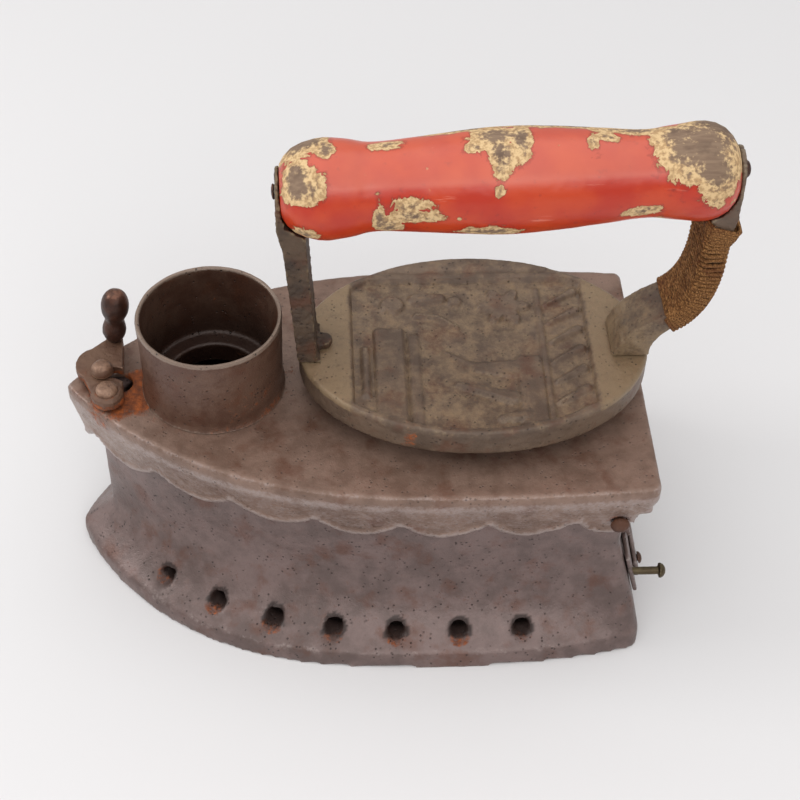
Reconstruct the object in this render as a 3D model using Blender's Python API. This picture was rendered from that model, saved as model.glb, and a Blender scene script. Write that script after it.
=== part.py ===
"""A charcoal clothes iron: a cast fire box with a hinged lid, a chimney and a wooden handle.

Lengths are in millimetres until a mesh is made. X runs from the nose (-) to the heel (+), Y across, Z up, and
the origin is the centre of the sole's underside.
"""

import math

import bmesh
import bpy
from mathutils import Matrix, Vector

MM = 0.001

CLEARANCE = 0.3  # between pieces that touch

# Fire box
BOX_NOSE = -93.0
BOX_REAR = 93.5
BOX_HALF_WIDTH = 49.5
BOX_WIDEST = 30.0  # X of the widest place
BOX_TOP = 76.7
BOX_WALL = 3.5
BOX_NOSE_WALL = 9.0
BOX_FLOOR = 6.3
BOX_CORNER = 3.0
SOLE_NOSE = BOX_NOSE - 12.4
SOLE_REAR = BOX_REAR + 9.5
SOLE_HALF_WIDTH = BOX_HALF_WIDTH + 20.2
SOLE_WIDEST = 40.0
SOLE_BAND = 6.0
SOLE_DRAFT = 1.6
SOLE_CORNER = 6.0
FLARE_TOP_NOSE = 17.0
FLARE_TOP_SIDE = 45.0
FLARE_TOP_REAR = 42.0
FLARE_HOLLOW = 0.62  # how far the inside follows the outside's flare

# Vent holes
VENT_RADIUS = 3.2
VENT_HEIGHT = 10.3
VENT_INSET = 4.6  # from the sole's band
VENT_FIRST = BOX_NOSE + 21.5
VENT_PITCH = 23.05
VENTS_PER_SIDE = 7

# Grate
GRATE_HEIGHT = 17.0
GRATE_THICKNESS = 2.0
GRATE_GAP = 1.2
GRATE_NOSE_GAP = 4.0
GRATE_SLOT = 5.0
GRATE_SLOT_PITCH = 16.0
GRATE_REAR_MARGIN = 11.3
GRATE_NOSE_MARGIN = 22.0
GRATE_RIM = 5.0
LEDGE = 4.5  # the bosses that the grate rests on
LEDGE_HALF_LENGTH = 4.0
LEDGE_PLACES = (BOX_NOSE + 48.0, BOX_REAR - 31.5)

# Lid
LID_NOSE = BOX_NOSE - 9.6
LID_REAR = BOX_REAR + 9.1
LID_HALF_WIDTH = BOX_HALF_WIDTH + 7.5
LID_WIDEST = 45.0
LID_THICKNESS = 3.0
LID_SEAT = 0.6
LID_TOP = BOX_TOP + LID_SEAT + LID_THICKNESS
LID_EDGE = 6.8  # straight upper part of the apron
LID_CORNER = 2.5
APRON_LOW = LID_TOP - 26.3
APRON_HIGH = LID_TOP - 16.8
APRON_REAR_LOW = LID_TOP - 14.1
APRON_GAP = 0.9
APRON_NOSE_GAP = 3.5  # the swinging apron passes in front of the catch stud
APRON_WALL = 1.3
SCALLOP_PITCH = 29.2
SCALLOP_FIRST = 9.2
LID_EASED = 0.6

# Hinge
HINGE_PIN_RADIUS = 2.0
HINGE_HEAD_RADIUS = HINGE_PIN_RADIUS + 1.4
HINGE_HEAD = 2.2
HINGE_RUNNING = 0.3
HINGE_RIB_RADIUS = HINGE_PIN_RADIUS + 2.3
GRATE_REAR_GAP = 2 * HINGE_RIB_RADIUS + 0.4 + GRATE_GAP - BOX_WALL  # the grate lifts out past the rib
HINGE_X = BOX_REAR - HINGE_PIN_RADIUS - 1.5
HINGE_Z = LID_TOP - 18.3

# Chimney
CHIMNEY_X = BOX_NOSE + 42.5
CHIMNEY_WALL = 1.8
FLUE_RADIUS = 16.2
SPIGOT_WALL = 1.8
CHIMNEY_FOOT_RADIUS = FLUE_RADIUS + 8.3
CHIMNEY_RIM_RADIUS = CHIMNEY_FOOT_RADIUS + 0.7
CHIMNEY_TOP = LID_TOP + 33.0

# Latch
STUD_X = BOX_NOSE + 3.5
STUD_Y = 0.6
STUD_RADIUS = 2.0
STUD_HEAD_RADIUS = STUD_RADIUS + 2.0
STUD_HEAD = 4.4
STUD_DEPTH = 15.0
STUD_BOSS_RADIUS = STUD_RADIUS + 2.2
PIVOT_X = BOX_NOSE + 5.8
PIVOT_Y = -9.0
PIVOT_RADIUS = 1.8
PIVOT_HEAD_RADIUS = PIVOT_RADIUS + 2.0
PIVOT_HEAD = 3.0
LEVER_BOTTOM = LID_TOP + 1.3
LEVER_TOP = LEVER_BOTTOM + 3.8
LEVER_LOBE = 5.8
LEVER_NECK = 3.1
LEVER_TIP_X = BOX_NOSE + 6.4
LEVER_TIP_Y = 17.4
CATCH_LOBE_RADIUS = 8.2
CATCH_LOBE_X = BOX_NOSE + 1.8
CATCH_LOBE_Y = 5.2
HOOK_GAP = 0.6
LATCH_TRAVEL = 55.0
HOOK_OPENING = 20.0  # degrees that the hook's slot is longer than the travel
KNOB_RADIUS = 5.0
KNOB_COLLAR_RADIUS = 4.4
KNOB_HEIGHT = 23.0
KNOB_LEAN = 7.0
KNOB_STEM_RADIUS = 1.5

# Heat shield under the handle
SHIELD_FRONT = CHIMNEY_X + CHIMNEY_RIM_RADIUS + 5.2
SHIELD_REAR = BOX_REAR + 9.2
SHIELD_X = 0.5 * (SHIELD_FRONT + SHIELD_REAR)
SHIELD_HALF_LENGTH = 0.5 * (SHIELD_REAR - SHIELD_FRONT)
SHIELD_HALF_WIDTH = 44.0
SHIELD_TOP = LID_TOP + 18.3
SHIELD_RIM = 10.4
SHIELD_WALL = 3.0
SHIELD_EASED = 0.8
PANEL_HALF_LENGTH = 41.0
PANEL_HALF_WIDTH = 31.0
PANEL_DEPTH = 0.9
LEG_RADIUS = 4.4
SCREW_RADIUS = 2.0
SCREW_DEPTH = 11.0
SCREW_HEAD_RADIUS = SCREW_RADIUS + 2.2
SCREW_HEAD = 2.6

# Handle
ROD_RADIUS = 2.0
ROD_HEAD_RADIUS = ROD_RADIUS + 0.7
ROD_NUT_RADIUS = ROD_RADIUS + 1.0
GRIP_FRONT = SHIELD_FRONT - 4.0
GRIP_REAR = SHIELD_REAR + 18.9
GRIP_FRONT_Z = SHIELD_TOP + 68.8
GRIP_REAR_Z = SHIELD_TOP + 75.5
GRIP_BORE = ROD_RADIUS + CLEARANCE
STRAP = 1.5
EYE_RADIUS = 8.0
POST_HALF_WIDTH = 9.5
POST_FOOT = (SHIELD_FRONT - 0.1, SHIELD_FRONT + 6.1)
POST_HEAD = (GRIP_FRONT + 0.1, GRIP_FRONT + 7.7)
POST_TANG_X = SHIELD_FRONT + 8.5
POST_TOE = 3.4
POST_TOE_HEIGHT = 2.4
ARM_HALF_WIDTH = 9.2
ARM_HALF_THICKNESS = 3.3
ARM_TANG_X = SHIELD_REAR - 9.3
LEG_PLACES = (POST_TANG_X + 13.6, ARM_TANG_X - 21.9)
TANG_RADIUS = 1.9
NUT_RADIUS = TANG_RADIUS + 1.8
NUT_HEIGHT = 3.2
WASHER_RADIUS = TANG_RADIUS + 2.3
WASHER_THICKNESS = 1.4
TWINE = 1.5

# Draught slide on the heel
SLIDE_HEIGHT = 24.0
SLIDE_HALF_WIDTH = 10.0
SLIDE_THICKNESS = 1.6
SLIDE_TRAVEL = 10.0
SLIDE_RUNNING = 0.4
SLIDE_SEAT = SLIDE_RUNNING + 0.1
DRAUGHT_RADIUS = 3.8
DRAUGHT_PITCH = 20.0
DRAUGHTS = 3
SLIDE_NEAR = -BOX_HALF_WIDTH + 1.5
DRAUGHT_FIRST = SLIDE_NEAR + 24.0
SLIDE_FAR = DRAUGHT_FIRST + (DRAUGHTS - 1) * DRAUGHT_PITCH + 14.0
RAIL_HALF_LENGTH = BOX_HALF_WIDTH - 11.0
RAIL_SHIFT = 2.0
RAIL_HEIGHT = 6.0
RAIL_LIP = 2.0
RAIL_LIP_THICKNESS = 1.5
RIVET_RADIUS = 1.2
RIVET_HEAD_RADIUS = RIVET_RADIUS + 1.2
RIVET_HEAD = 1.6
RIVET_DEPTH = 2.2
RIVET_INSET = 6.0  # from each end of a rail
PULL_Y = SLIDE_NEAR + 3.0
PULL_Z = 23.0
PULL_RADIUS = 1.5
PULL_LENGTH = 10.5
PULL_HEAD_RADIUS = 2.85
PULL_HEAD = 2.5

FINE = 36  # sides of a large round piece
MEDIUM = 20
SMALL = 14

HEEL_SLOPE = math.atan2(SOLE_REAR - BOX_REAR, FLARE_TOP_REAR - SOLE_BAND)


# ---------------------------------------------------------------- plan curves


class Plan:
    """An outline seen from above: a pointed nose at -X, nearly parallel sides, a square heel at +X."""

    def __init__(self, nose, rear, widest, half_width, fullness, taper, corner, power=2.0):
        self.nose = nose
        self.rear = rear
        self.widest = widest
        self.half_width = half_width
        self.fullness = fullness
        self.taper = taper
        self.corner = corner
        self.power = power

    def grown(self, side, nose=None, rear=None):
        """The same outline moved out at its sides, and by its own amounts at the nose and the heel."""
        return Plan(
            self.nose - (side if nose is None else nose),
            self.rear + (side if rear is None else rear),
            self.widest,
            self.half_width + side,
            self.fullness,
            self.taper,
            self.corner,
            self.power,
        )

    def width_at(self, x):
        if x < self.widest:
            reach = min(1.0, (self.widest - x) / (self.widest - self.nose))
            return self.half_width * (1 - reach**self.power) ** self.fullness
        return self.half_width - self.taper * ((x - self.widest) / (self.rear - self.widest)) ** 2

    def walk(self):
        """Closely spaced points down one side, each with its distance from the nose."""
        steps = 500
        length = self.rear - self.corner - self.nose
        points = [Vector((self.nose, 0.0))]
        distances = [0.0]
        for step in range(1, steps + 1):
            x = self.nose + length * (step / steps) ** 2
            points.append(Vector((x, self.width_at(x))))
            distances.append(distances[-1] + (points[-1] - points[-2]).length)
        return points, distances

    def at_distance(self, wanted):
        points, distances = self.walk()
        for index in range(1, len(points)):
            if distances[index] >= wanted:
                share = (wanted - distances[index - 1]) / (distances[index] - distances[index - 1])
                return points[index - 1].lerp(points[index], share)
        return points[-1]

    def side(self, count):
        points, distances = self.walk()
        chosen = []
        index = 1
        for step in range(count + 1):
            wanted = distances[-1] * step / count
            while index < len(points) - 1 and distances[index] < wanted:
                index += 1
            share = (wanted - distances[index - 1]) / (distances[index] - distances[index - 1])
            chosen.append(points[index - 1].lerp(points[index], min(1.0, share)))
        return chosen

    def outline(self, side_count, rear_count):
        """Points anticlockwise from the nose, along -Y, round the heel and back along +Y."""
        half = self.side(side_count)
        centre = Vector((self.rear - self.corner, half[-1].y - self.corner))
        for step in (1, 2, 3):
            angle = math.radians(90 - 30 * step)
            half.append(centre + self.corner * Vector((math.cos(angle), math.sin(angle))))
        for step in range(1, rear_count + 1):
            half.append(Vector((self.rear, centre.y * (1 - step / rear_count))))
        near = [Vector((p.x, -p.y)) for p in half]
        return near + half[-2:0:-1]


BOX_PLAN = Plan(BOX_NOSE, BOX_REAR, BOX_WIDEST, BOX_HALF_WIDTH, 0.79, 0.7, BOX_CORNER)
SOLE_PLAN = Plan(SOLE_NOSE, SOLE_REAR, SOLE_WIDEST, SOLE_HALF_WIDTH, 0.8, 6.8, SOLE_CORNER, 3.17)
BAND_PLAN = SOLE_PLAN.grown(-SOLE_DRAFT, nose=-0.5, rear=0.0)
CAVITY_PLAN = BOX_PLAN.grown(-BOX_WALL, nose=-BOX_NOSE_WALL)
GRATE_PLAN = CAVITY_PLAN.grown(-GRATE_GAP, nose=-GRATE_NOSE_GAP, rear=-GRATE_REAR_GAP)
LID_PLAN = Plan(LID_NOSE, LID_REAR, LID_WIDEST, LID_HALF_WIDTH, 0.92, 2.4, LID_CORNER, 2.81)
LID_UNDER_PLAN = LID_PLAN.grown(-LID_THICKNESS, nose=-4.5)
HEM_INNER_PLAN = BOX_PLAN.grown(APRON_GAP, nose=APRON_NOSE_GAP)
HEM_OUTER_PLAN = HEM_INNER_PLAN.grown(APRON_WALL)


# ---------------------------------------------------------------- meshes and materials


def at_height(outline, z):
    return [Vector((p.x, p.y, z)) for p in outline]


def circle(radius, z, sides):
    turns = [2 * math.pi * step / sides for step in range(sides)]
    return [Vector((radius * math.cos(turn), radius * math.sin(turn), z)) for turn in turns]


def lofted(rings, joined=False):
    """A bmesh through rings of equally many points, capped at both ends or joined end to start."""
    mesh = bmesh.new()
    loops = [[mesh.verts.new(point) for point in ring] for ring in rings]
    pairs = list(zip(loops, loops[1:]))
    if joined:
        pairs.append((loops[-1], loops[0]))
    else:
        mesh.faces.new(loops[0])
        mesh.faces.new(loops[-1])
    for low, high in pairs:
        for index in range(len(low)):
            following = (index + 1) % len(low)
            mesh.faces.new((low[index], low[following], high[following], high[index]))
    bmesh.ops.recalc_face_normals(mesh, faces=mesh.faces)
    return mesh


def turned(profile, sides, joined=False):
    """A round shape about Z from (radius, height) pairs."""
    return lofted([circle(radius, z, sides) for radius, z in profile], joined)


def prism(outline, low, high):
    return lofted([at_height(outline, low), at_height(outline, high)])


def block(low, high):
    corners = [
        Vector((low[0], low[1])),
        Vector((high[0], low[1])),
        Vector((high[0], high[1])),
        Vector((low[0], high[1])),
    ]
    return prism(corners, low[2], high[2])


def upright(profile, half_width):
    """A shape with the given (x, z) outline, reaching half_width to each side of Y = 0."""
    rings = [[Vector((x, y, z)) for x, z in profile] for y in (-half_width, half_width)]
    return lofted(rings)


def along(start, end):
    """A frame at start whose Z points to end."""
    direction = Vector(end) - Vector(start)
    return Matrix.Translation(start) @ direction.to_track_quat("Z", "Y").to_matrix().to_4x4()


def pin(start, end, radius, sides=SMALL):
    length = (Vector(end) - Vector(start)).length
    mesh = turned([(radius, 0), (radius, length)], sides)
    mesh.transform(along(start, end))
    return mesh


def dome(radius, base, height):
    """The rounded head of a rivet, as (radius, height) pairs from its rim to its crown."""
    return [
        (radius, base),
        (radius, base + 0.25 * height),
        (0.82 * radius, base + 0.65 * height),
        (0.45 * radius, base + 0.93 * height),
        (0.12 * radius, base + height),
    ]


def smooth_through(points, steps):
    """Points on a smooth curve through the given ones."""
    given = [Vector(p) for p in points]
    ends = [2 * given[0] - given[1]] + given + [2 * given[-1] - given[-2]]
    curve = []
    for index in range(1, len(ends) - 2):
        before, start, end, after = ends[index - 1 : index + 3]
        for step in range(steps):
            t = step / steps
            curve.append(
                0.5
                * (
                    2 * start
                    + (end - before) * t
                    + (2 * before - 5 * start + 4 * end - after) * t**2
                    + (3 * start - before - 3 * end + after) * t**3
                )
            )
    curve.append(given[-1])
    return curve


def material(name, colour, roughness, metallic):
    made = bpy.data.materials.new(name)
    made.use_nodes = True
    shader = made.node_tree.nodes["Principled BSDF"]
    shader.inputs["Base Color"].default_value = (*colour, 1.0)
    shader.inputs["Roughness"].default_value = roughness
    shader.inputs["Metallic"].default_value = metallic
    return made


BODY_ORIGINS = {
    "root": (0.0, 0.0, 0.0),
    "lid": (HINGE_X, 0.0, HINGE_Z),
    "latch": (PIVOT_X, PIVOT_Y, LID_TOP),
    "slide": (BOX_REAR, 0.0, SLIDE_HEIGHT),
    "grate": (0.0, 0.0, GRATE_HEIGHT),
}
BODY_PARENTS = {"lid": "root", "latch": "lid", "slide": "root", "grate": "root"}


def make_body_axes():
    """An empty on the joint of each moving body, and one for the body that stands still."""
    axes = {}
    for name, origin in BODY_ORIGINS.items():
        axis = bpy.data.objects.new(name + "_axis", None)
        bpy.context.scene.collection.objects.link(axis)
        parent = BODY_PARENTS.get(name)
        place = Vector(origin)
        if parent:
            axis.parent = axes[parent]
            place -= Vector(BODY_ORIGINS[parent])
        axis.location = place * MM
        axes[name] = axis
    return axes


def as_object(name, mesh, body, finish=None):
    """The bmesh, given in millimetres in world space, as an object whose origin is its body's joint."""
    mesh.transform(Matrix.Translation(-Vector(BODY_ORIGINS[body])))
    mesh.transform(Matrix.Scale(MM, 4))
    data = bpy.data.meshes.new(name)
    mesh.to_mesh(data)
    mesh.free()
    data.shade_smooth()
    data.set_sharp_from_angle(angle=math.radians(35))
    made = bpy.data.objects.new(name, data)
    bpy.context.scene.collection.objects.link(made)
    made.parent = AXES[body]
    if finish:
        data.materials.append(finish)
    return made


def combine(piece, mesh, body, operation):
    """Cuts the mesh from the piece, or joins it on, or keeps what both share."""
    tool = as_object(f"{piece.name}_tool", mesh, body)
    tool.hide_render = True
    tool.display_type = "WIRE"
    change = piece.modifiers.new(tool.name, "BOOLEAN")
    change.object = tool
    change.operation = operation
    change.solver = "EXACT"


def cut(piece, mesh, body="root"):
    combine(piece, mesh, body, "DIFFERENCE")


def join(piece, mesh, body="root"):
    combine(piece, mesh, body, "UNION")


def keep_inside(piece, mesh, body="root"):
    combine(piece, mesh, body, "INTERSECT")


# ---------------------------------------------------------------- fire box


BOX_SIDE_POINTS = 24
BOX_REAR_POINTS = 3


def flare_shares(z):
    """For each outline point, how far out the flare is at this height: 1 at the sole's band, 0 on the wall."""
    half = []
    for step in range(BOX_SIDE_POINTS + 1):
        along_side = step / BOX_SIDE_POINTS
        fullness = min(1.0, along_side / 0.3)
        top = FLARE_TOP_NOSE + (FLARE_TOP_SIDE - FLARE_TOP_NOSE) * fullness
        power = 1.0 + 2.6 * fullness
        if step == BOX_SIDE_POINTS:
            power = 1.5
        half.append((top, power))
    half += [(FLARE_TOP_REAR, 1.15), (FLARE_TOP_REAR, 1.0), (FLARE_TOP_REAR, 1.0)]
    half += [(FLARE_TOP_REAR, 1.0)] * BOX_REAR_POINTS
    both = half + half[-2:0:-1]
    return [max(0.0, min(1.0, (top - z) / (top - SOLE_BAND))) ** power for top, power in both]


def flared(base, z, share_of_flare):
    """The outline of the base plan at this height, with its share of the flare added."""
    wall = BOX_PLAN.outline(BOX_SIDE_POINTS, BOX_REAR_POINTS)
    band = BAND_PLAN.outline(BOX_SIDE_POINTS, BOX_REAR_POINTS)
    points = base.outline(BOX_SIDE_POINTS, BOX_REAR_POINTS)
    shares = flare_shares(z)
    moved = [p + (b - w) * s * share_of_flare for p, b, w, s in zip(points, band, wall, shares)]
    return at_height(moved, z)


def heel_x(z):
    """Where the sloping heel lies at this height."""
    return BOX_REAR + math.tan(HEEL_SLOPE) * (FLARE_TOP_REAR - z)


def heel_frame():
    """A frame on the heel with X across to +Y, Y up the slope and Z straight out of it."""
    across = Vector((0, 1, 0))
    up = Vector((-math.sin(HEEL_SLOPE), 0, math.cos(HEEL_SLOPE)))
    outward = across.cross(up)
    turn = Matrix((across, up, outward)).transposed().to_4x4()
    return Matrix.Translation((heel_x(SLIDE_HEIGHT), 0, SLIDE_HEIGHT)) @ turn


def on_heel(mesh):
    mesh.transform(heel_frame())
    return mesh


def vent_places():
    """The middle of each vent on the near side, and the direction that it faces."""
    line = SOLE_PLAN.grown(-SOLE_DRAFT - VENT_INSET, nose=-12.0)
    points, distances = line.walk()
    first = next(d for p, d in zip(points, distances) if p.x >= VENT_FIRST)
    places = []
    for number in range(VENTS_PER_SIDE):
        distance = first + number * VENT_PITCH
        here = line.at_distance(distance)
        ahead = line.at_distance(distance + 1.0)
        run = (ahead - here).normalized()
        places.append((here, Vector((-run.y, run.x))))
    return places


def rivet_places():
    half = RAIL_HALF_LENGTH - RIVET_INSET
    height = SLIDE_HALF_WIDTH + SLIDE_RUNNING + 0.5 * RAIL_HEIGHT
    return [(x + RAIL_SHIFT, y) for y in (height, -height) for x in (-half, half)]


def draught_places(shift=0.0):
    return [DRAUGHT_FIRST + DRAUGHT_PITCH * number + shift for number in range(DRAUGHTS)]


def make_fire_box(finish):
    heights = (SOLE_BAND, 8, 10, 12.5, 15.5, 19, 24, 30, 37, FLARE_TOP_SIDE, BOX_TOP)
    inside_heights = (BOX_TOP, 45, 30, 19, 12.5, BOX_FLOOR)
    rings = [at_height(SOLE_PLAN.outline(BOX_SIDE_POINTS, BOX_REAR_POINTS), 0.0)]
    rings += [flared(BOX_PLAN, z, 1.0) for z in heights]
    rings += [flared(CAVITY_PLAN, z, FLARE_HOLLOW) for z in inside_heights]
    box = as_object("fire_box", lofted(rings), "root", finish)
    # A rib inside the heel carries the hinge pin, and a boss in the nose carries the catch.
    reach = BOX_PLAN.width_at(HINGE_X) - 0.5
    rib_x = BOX_REAR - HINGE_RIB_RADIUS - 0.4
    join(box, pin((rib_x, -reach, HINGE_Z), (rib_x, reach, HINGE_Z), HINGE_RIB_RADIUS, SMALL))
    boss_x = CAVITY_PLAN.nose - 2.0
    join(box, pin((boss_x, 0, BOX_FLOOR - 1), (boss_x, 0, BOX_TOP - 0.4), STUD_BOSS_RADIUS, SMALL))
    for x in LEDGE_PLACES:
        for side in (-1, 1):
            edge = CAVITY_PLAN.width_at(x)
            low, high = sorted((side * (edge - LEDGE), side * (edge + 2.0)))
            near = (x - LEDGE_HALF_LENGTH, low, BOX_FLOOR - 1)
            join(box, block(near, (x + LEDGE_HALF_LENGTH, high, GRATE_HEIGHT - CLEARANCE)))
    hole = HINGE_PIN_RADIUS + HINGE_RUNNING
    cut(box, pin((HINGE_X, -80, HINGE_Z), (HINGE_X, 80, HINGE_Z), hole, SMALL))
    stud_hole = STUD_RADIUS + CLEARANCE
    low = BOX_TOP - STUD_DEPTH - CLEARANCE
    cut(box, pin((STUD_X, STUD_Y, low), (STUD_X, STUD_Y, BOX_TOP + 5), stud_hole))
    for place, outward in vent_places():
        for side in (-1, 1):
            middle = Vector((place.x, side * place.y, VENT_HEIGHT))
            facing = Vector((outward.x, side * outward.y, 0))
            cut(box, pin(middle - 16 * facing, middle + 12 * facing, VENT_RADIUS, 12))
    for x in draught_places():
        cut(box, on_heel(pin((x, 0, -15), (x, 0, 8), DRAUGHT_RADIUS, SMALL)))
    for x, y in rivet_places():
        hole = RIVET_RADIUS + CLEARANCE
        cut(box, on_heel(pin((x, y, -RIVET_DEPTH - CLEARANCE), (x, y, 5), hole, 8)))
    return box


def make_grate(finish):
    top = GRATE_HEIGHT + GRATE_THICKNESS
    grate = as_object("charcoal_grate", prism(GRATE_PLAN.outline(14, 2), GRATE_HEIGHT, top), "grate", finish)
    last = GRATE_PLAN.rear - GRATE_REAR_MARGIN
    slots = 1 + int((last - GRATE_PLAN.nose - GRATE_NOSE_MARGIN) / GRATE_SLOT_PITCH)
    for number in range(slots):
        x = last - number * GRATE_SLOT_PITCH
        reach = min(GRATE_PLAN.width_at(x - GRATE_SLOT), GRATE_PLAN.width_at(x + GRATE_SLOT)) - GRATE_RIM
        low = (x - GRATE_SLOT / 2, -reach, GRATE_HEIGHT - 2)
        high = (x + GRATE_SLOT / 2, reach, top + 2)
        cut(grate, block(low, high), "grate")


# ---------------------------------------------------------------- lid and chimney


LID_SIDE_POINTS = 63
LID_REAR_POINTS = 5


def hem_heights():
    """The height of the apron's scalloped lower edge at each outline point."""
    length = HEM_OUTER_PLAN.walk()[1][-1]
    half = []
    for step in range(LID_SIDE_POINTS + 1):
        distance = length * step / LID_SIDE_POINTS
        swing = abs(math.sin(math.pi * (distance - SCALLOP_FIRST) / SCALLOP_PITCH)) ** 0.75
        half.append(APRON_HIGH - (APRON_HIGH - APRON_LOW) * swing)
    # The heel's corners stay above the pin, so that they clear the box's sides as the lid swings up.
    half += [APRON_REAR_LOW] * (3 + LID_REAR_POINTS)
    return half + half[-2:0:-1]


def sloped(top, bottom, top_z, bottom_z, heights):
    """Points on the slope from the top outline to the bottom one, each at its own height."""
    points = []
    for high, low, z in zip(top, bottom, heights):
        share = (top_z - z) / (top_z - bottom_z)
        flat = high.lerp(low, share)
        points.append(Vector((flat.x, flat.y, z)))
    return points


def make_lid(finish):
    counts = (LID_SIDE_POINTS, LID_REAR_POINTS)
    outer = LID_PLAN.outline(*counts)
    under = LID_UNDER_PLAN.outline(*counts)
    hem_outer = HEM_OUTER_PLAN.outline(*counts)
    hem_inner = HEM_INNER_PLAN.outline(*counts)
    edge_z = LID_TOP - LID_EDGE
    under_z = LID_TOP - LID_THICKNESS
    heights = hem_heights()
    rings = [
        at_height(under, under_z),
        sloped(under, hem_inner, under_z, APRON_LOW, heights),
        sloped(outer, hem_outer, edge_z, APRON_LOW, heights),
        at_height(outer, edge_z),
        at_height(outer, LID_TOP - LID_EASED),
        at_height(LID_PLAN.grown(-LID_EASED).outline(*counts), LID_TOP),
    ]
    lid = as_object("lid", lofted(rings), "lid", finish)
    low, high = under_z - 5, LID_TOP + 5
    spigot = FLUE_RADIUS + SPIGOT_WALL + CLEARANCE
    cut(lid, pin((CHIMNEY_X, 0, low), (CHIMNEY_X, 0, high), spigot, FINE), "lid")
    slot_half = STUD_HEAD_RADIUS + 0.8
    slot_ends = (STUD_X - 0.9, STUD_X + 5.2)
    slot = []
    for x, first in ((slot_ends[1], -90), (slot_ends[0], 90)):
        for step in range(9):
            angle = math.radians(first + 22.5 * step)
            slot.append(Vector((x + slot_half * math.cos(angle), STUD_Y + slot_half * math.sin(angle))))
    cut(lid, prism(slot, low, high), "lid")
    pivot_hole = PIVOT_RADIUS + CLEARANCE
    cut(lid, pin((PIVOT_X, PIVOT_Y, low), (PIVOT_X, PIVOT_Y, high), pivot_hole), "lid")
    for x in LEG_PLACES:
        cut(lid, pin((x, 0, low), (x, 0, high), SCREW_RADIUS + CLEARANCE), "lid")
    hole = HINGE_PIN_RADIUS + HINGE_RUNNING
    cut(lid, pin((HINGE_X, -80, HINGE_Z), (HINGE_X, 80, HINGE_Z), hole), "lid")


def make_chimney(finish):
    foot = LID_TOP + CLEARANCE
    spigot_low = LID_TOP - LID_THICKNESS - 2.0
    profile = [
        (CHIMNEY_FOOT_RADIUS, foot),
        (CHIMNEY_RIM_RADIUS, CHIMNEY_TOP - 0.5),
        (CHIMNEY_RIM_RADIUS - 0.3, CHIMNEY_TOP),
        (CHIMNEY_RIM_RADIUS - CHIMNEY_WALL + 0.3, CHIMNEY_TOP),
        (CHIMNEY_RIM_RADIUS - CHIMNEY_WALL, CHIMNEY_TOP - 0.5),
        (CHIMNEY_FOOT_RADIUS - CHIMNEY_WALL, foot + 2.6),
        (FLUE_RADIUS, foot + 2.4),
        (FLUE_RADIUS, spigot_low),
        (FLUE_RADIUS + SPIGOT_WALL, spigot_low),
        (FLUE_RADIUS + SPIGOT_WALL, foot),
    ]
    mesh = turned(profile, FINE, joined=True)
    mesh.transform(Matrix.Translation((CHIMNEY_X, 0, 0)))
    as_object("chimney", mesh, "lid", finish)


def hinge_side_y():
    """How far out the apron stands where the hinge pin goes through it."""
    share = (LID_TOP - LID_EDGE - HINGE_Z) / (LID_TOP - LID_EDGE - APRON_LOW)
    top = LID_PLAN.width_at(HINGE_X)
    return top + share * (HEM_OUTER_PLAN.width_at(HINGE_X) - top)


def make_hinge(finish):
    head_y = hinge_side_y() + 1.3
    tail = head_y + WASHER_THICKNESS + CLEARANCE
    profile = [(0.5 * HINGE_HEAD_RADIUS, -HINGE_HEAD), (0.85 * HINGE_HEAD_RADIUS, -0.7 * HINGE_HEAD)]
    profile += [(HINGE_HEAD_RADIUS, -0.3 * HINGE_HEAD), (HINGE_HEAD_RADIUS, 0)]
    profile += [(HINGE_PIN_RADIUS, 0), (HINGE_PIN_RADIUS, head_y + tail)]
    profile += [(HINGE_PIN_RADIUS + 0.9, head_y + tail), (HINGE_PIN_RADIUS + 0.5, head_y + tail + 1.2)]
    mesh = turned(profile, SMALL)
    mesh.transform(along((HINGE_X, -head_y, HINGE_Z), (HINGE_X, 0, HINGE_Z)))
    as_object("hinge_pin", mesh, "root", finish)
    inner = HINGE_PIN_RADIUS + HINGE_RUNNING
    low, high = head_y, tail - CLEARANCE
    outer = HINGE_HEAD_RADIUS + 0.4
    ring = turned([(outer, low), (outer, high), (inner, high), (inner, low)], SMALL, joined=True)
    ring.transform(along((HINGE_X, 0, HINGE_Z), (HINGE_X, 1, HINGE_Z)))
    as_object("hinge_washer", ring, "root", finish)


# ---------------------------------------------------------------- latch


def lever_outline():
    """The lever seen from above: a lobe on the pivot, a lobe round the catch, and a neck to the knob."""
    pivot = Vector((PIVOT_X, PIVOT_Y))
    catch = Vector((CATCH_LOBE_X, CATCH_LOBE_Y))
    tip = Vector((LEVER_TIP_X, LEVER_TIP_Y))
    points = []
    for centre, radius, first, last, steps in (
        (pivot, LEVER_LOBE, 170, 385, 12),
        (tip, LEVER_NECK, -5, 185, 8),
        (catch, CATCH_LOBE_RADIUS, 110, 235, 8),
    ):
        for step in range(steps + 1):
            angle = math.radians(first + (last - first) * step / steps)
            points.append(centre + radius * Vector((math.cos(angle), math.sin(angle))))
    return points


def hook_slot():
    """The path that the catch's stem takes through the lever as the lever swings clear of it."""
    pivot = Vector((PIVOT_X, PIVOT_Y))
    arm = Vector((STUD_X, STUD_Y)) - pivot
    start = math.degrees(math.atan2(arm.y, arm.x))
    half = STUD_RADIUS + HOOK_GAP
    steps = 8
    sweep = LATCH_TRAVEL + HOOK_OPENING
    outer = []
    inner = []
    for step in range(steps + 1):
        angle = math.radians(start - sweep * step / steps)
        ray = Vector((math.cos(angle), math.sin(angle)))
        outer.append(pivot + (arm.length + half) * ray)
        inner.append(pivot + (arm.length - half) * ray)
    cap = []
    for step in range(1, 7):
        angle = math.radians(start + 180 - 180 * step / 7)
        cap.append(Vector((STUD_X, STUD_Y)) + half * Vector((math.cos(angle), math.sin(angle))))
    return inner[::-1] + cap + outer


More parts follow.
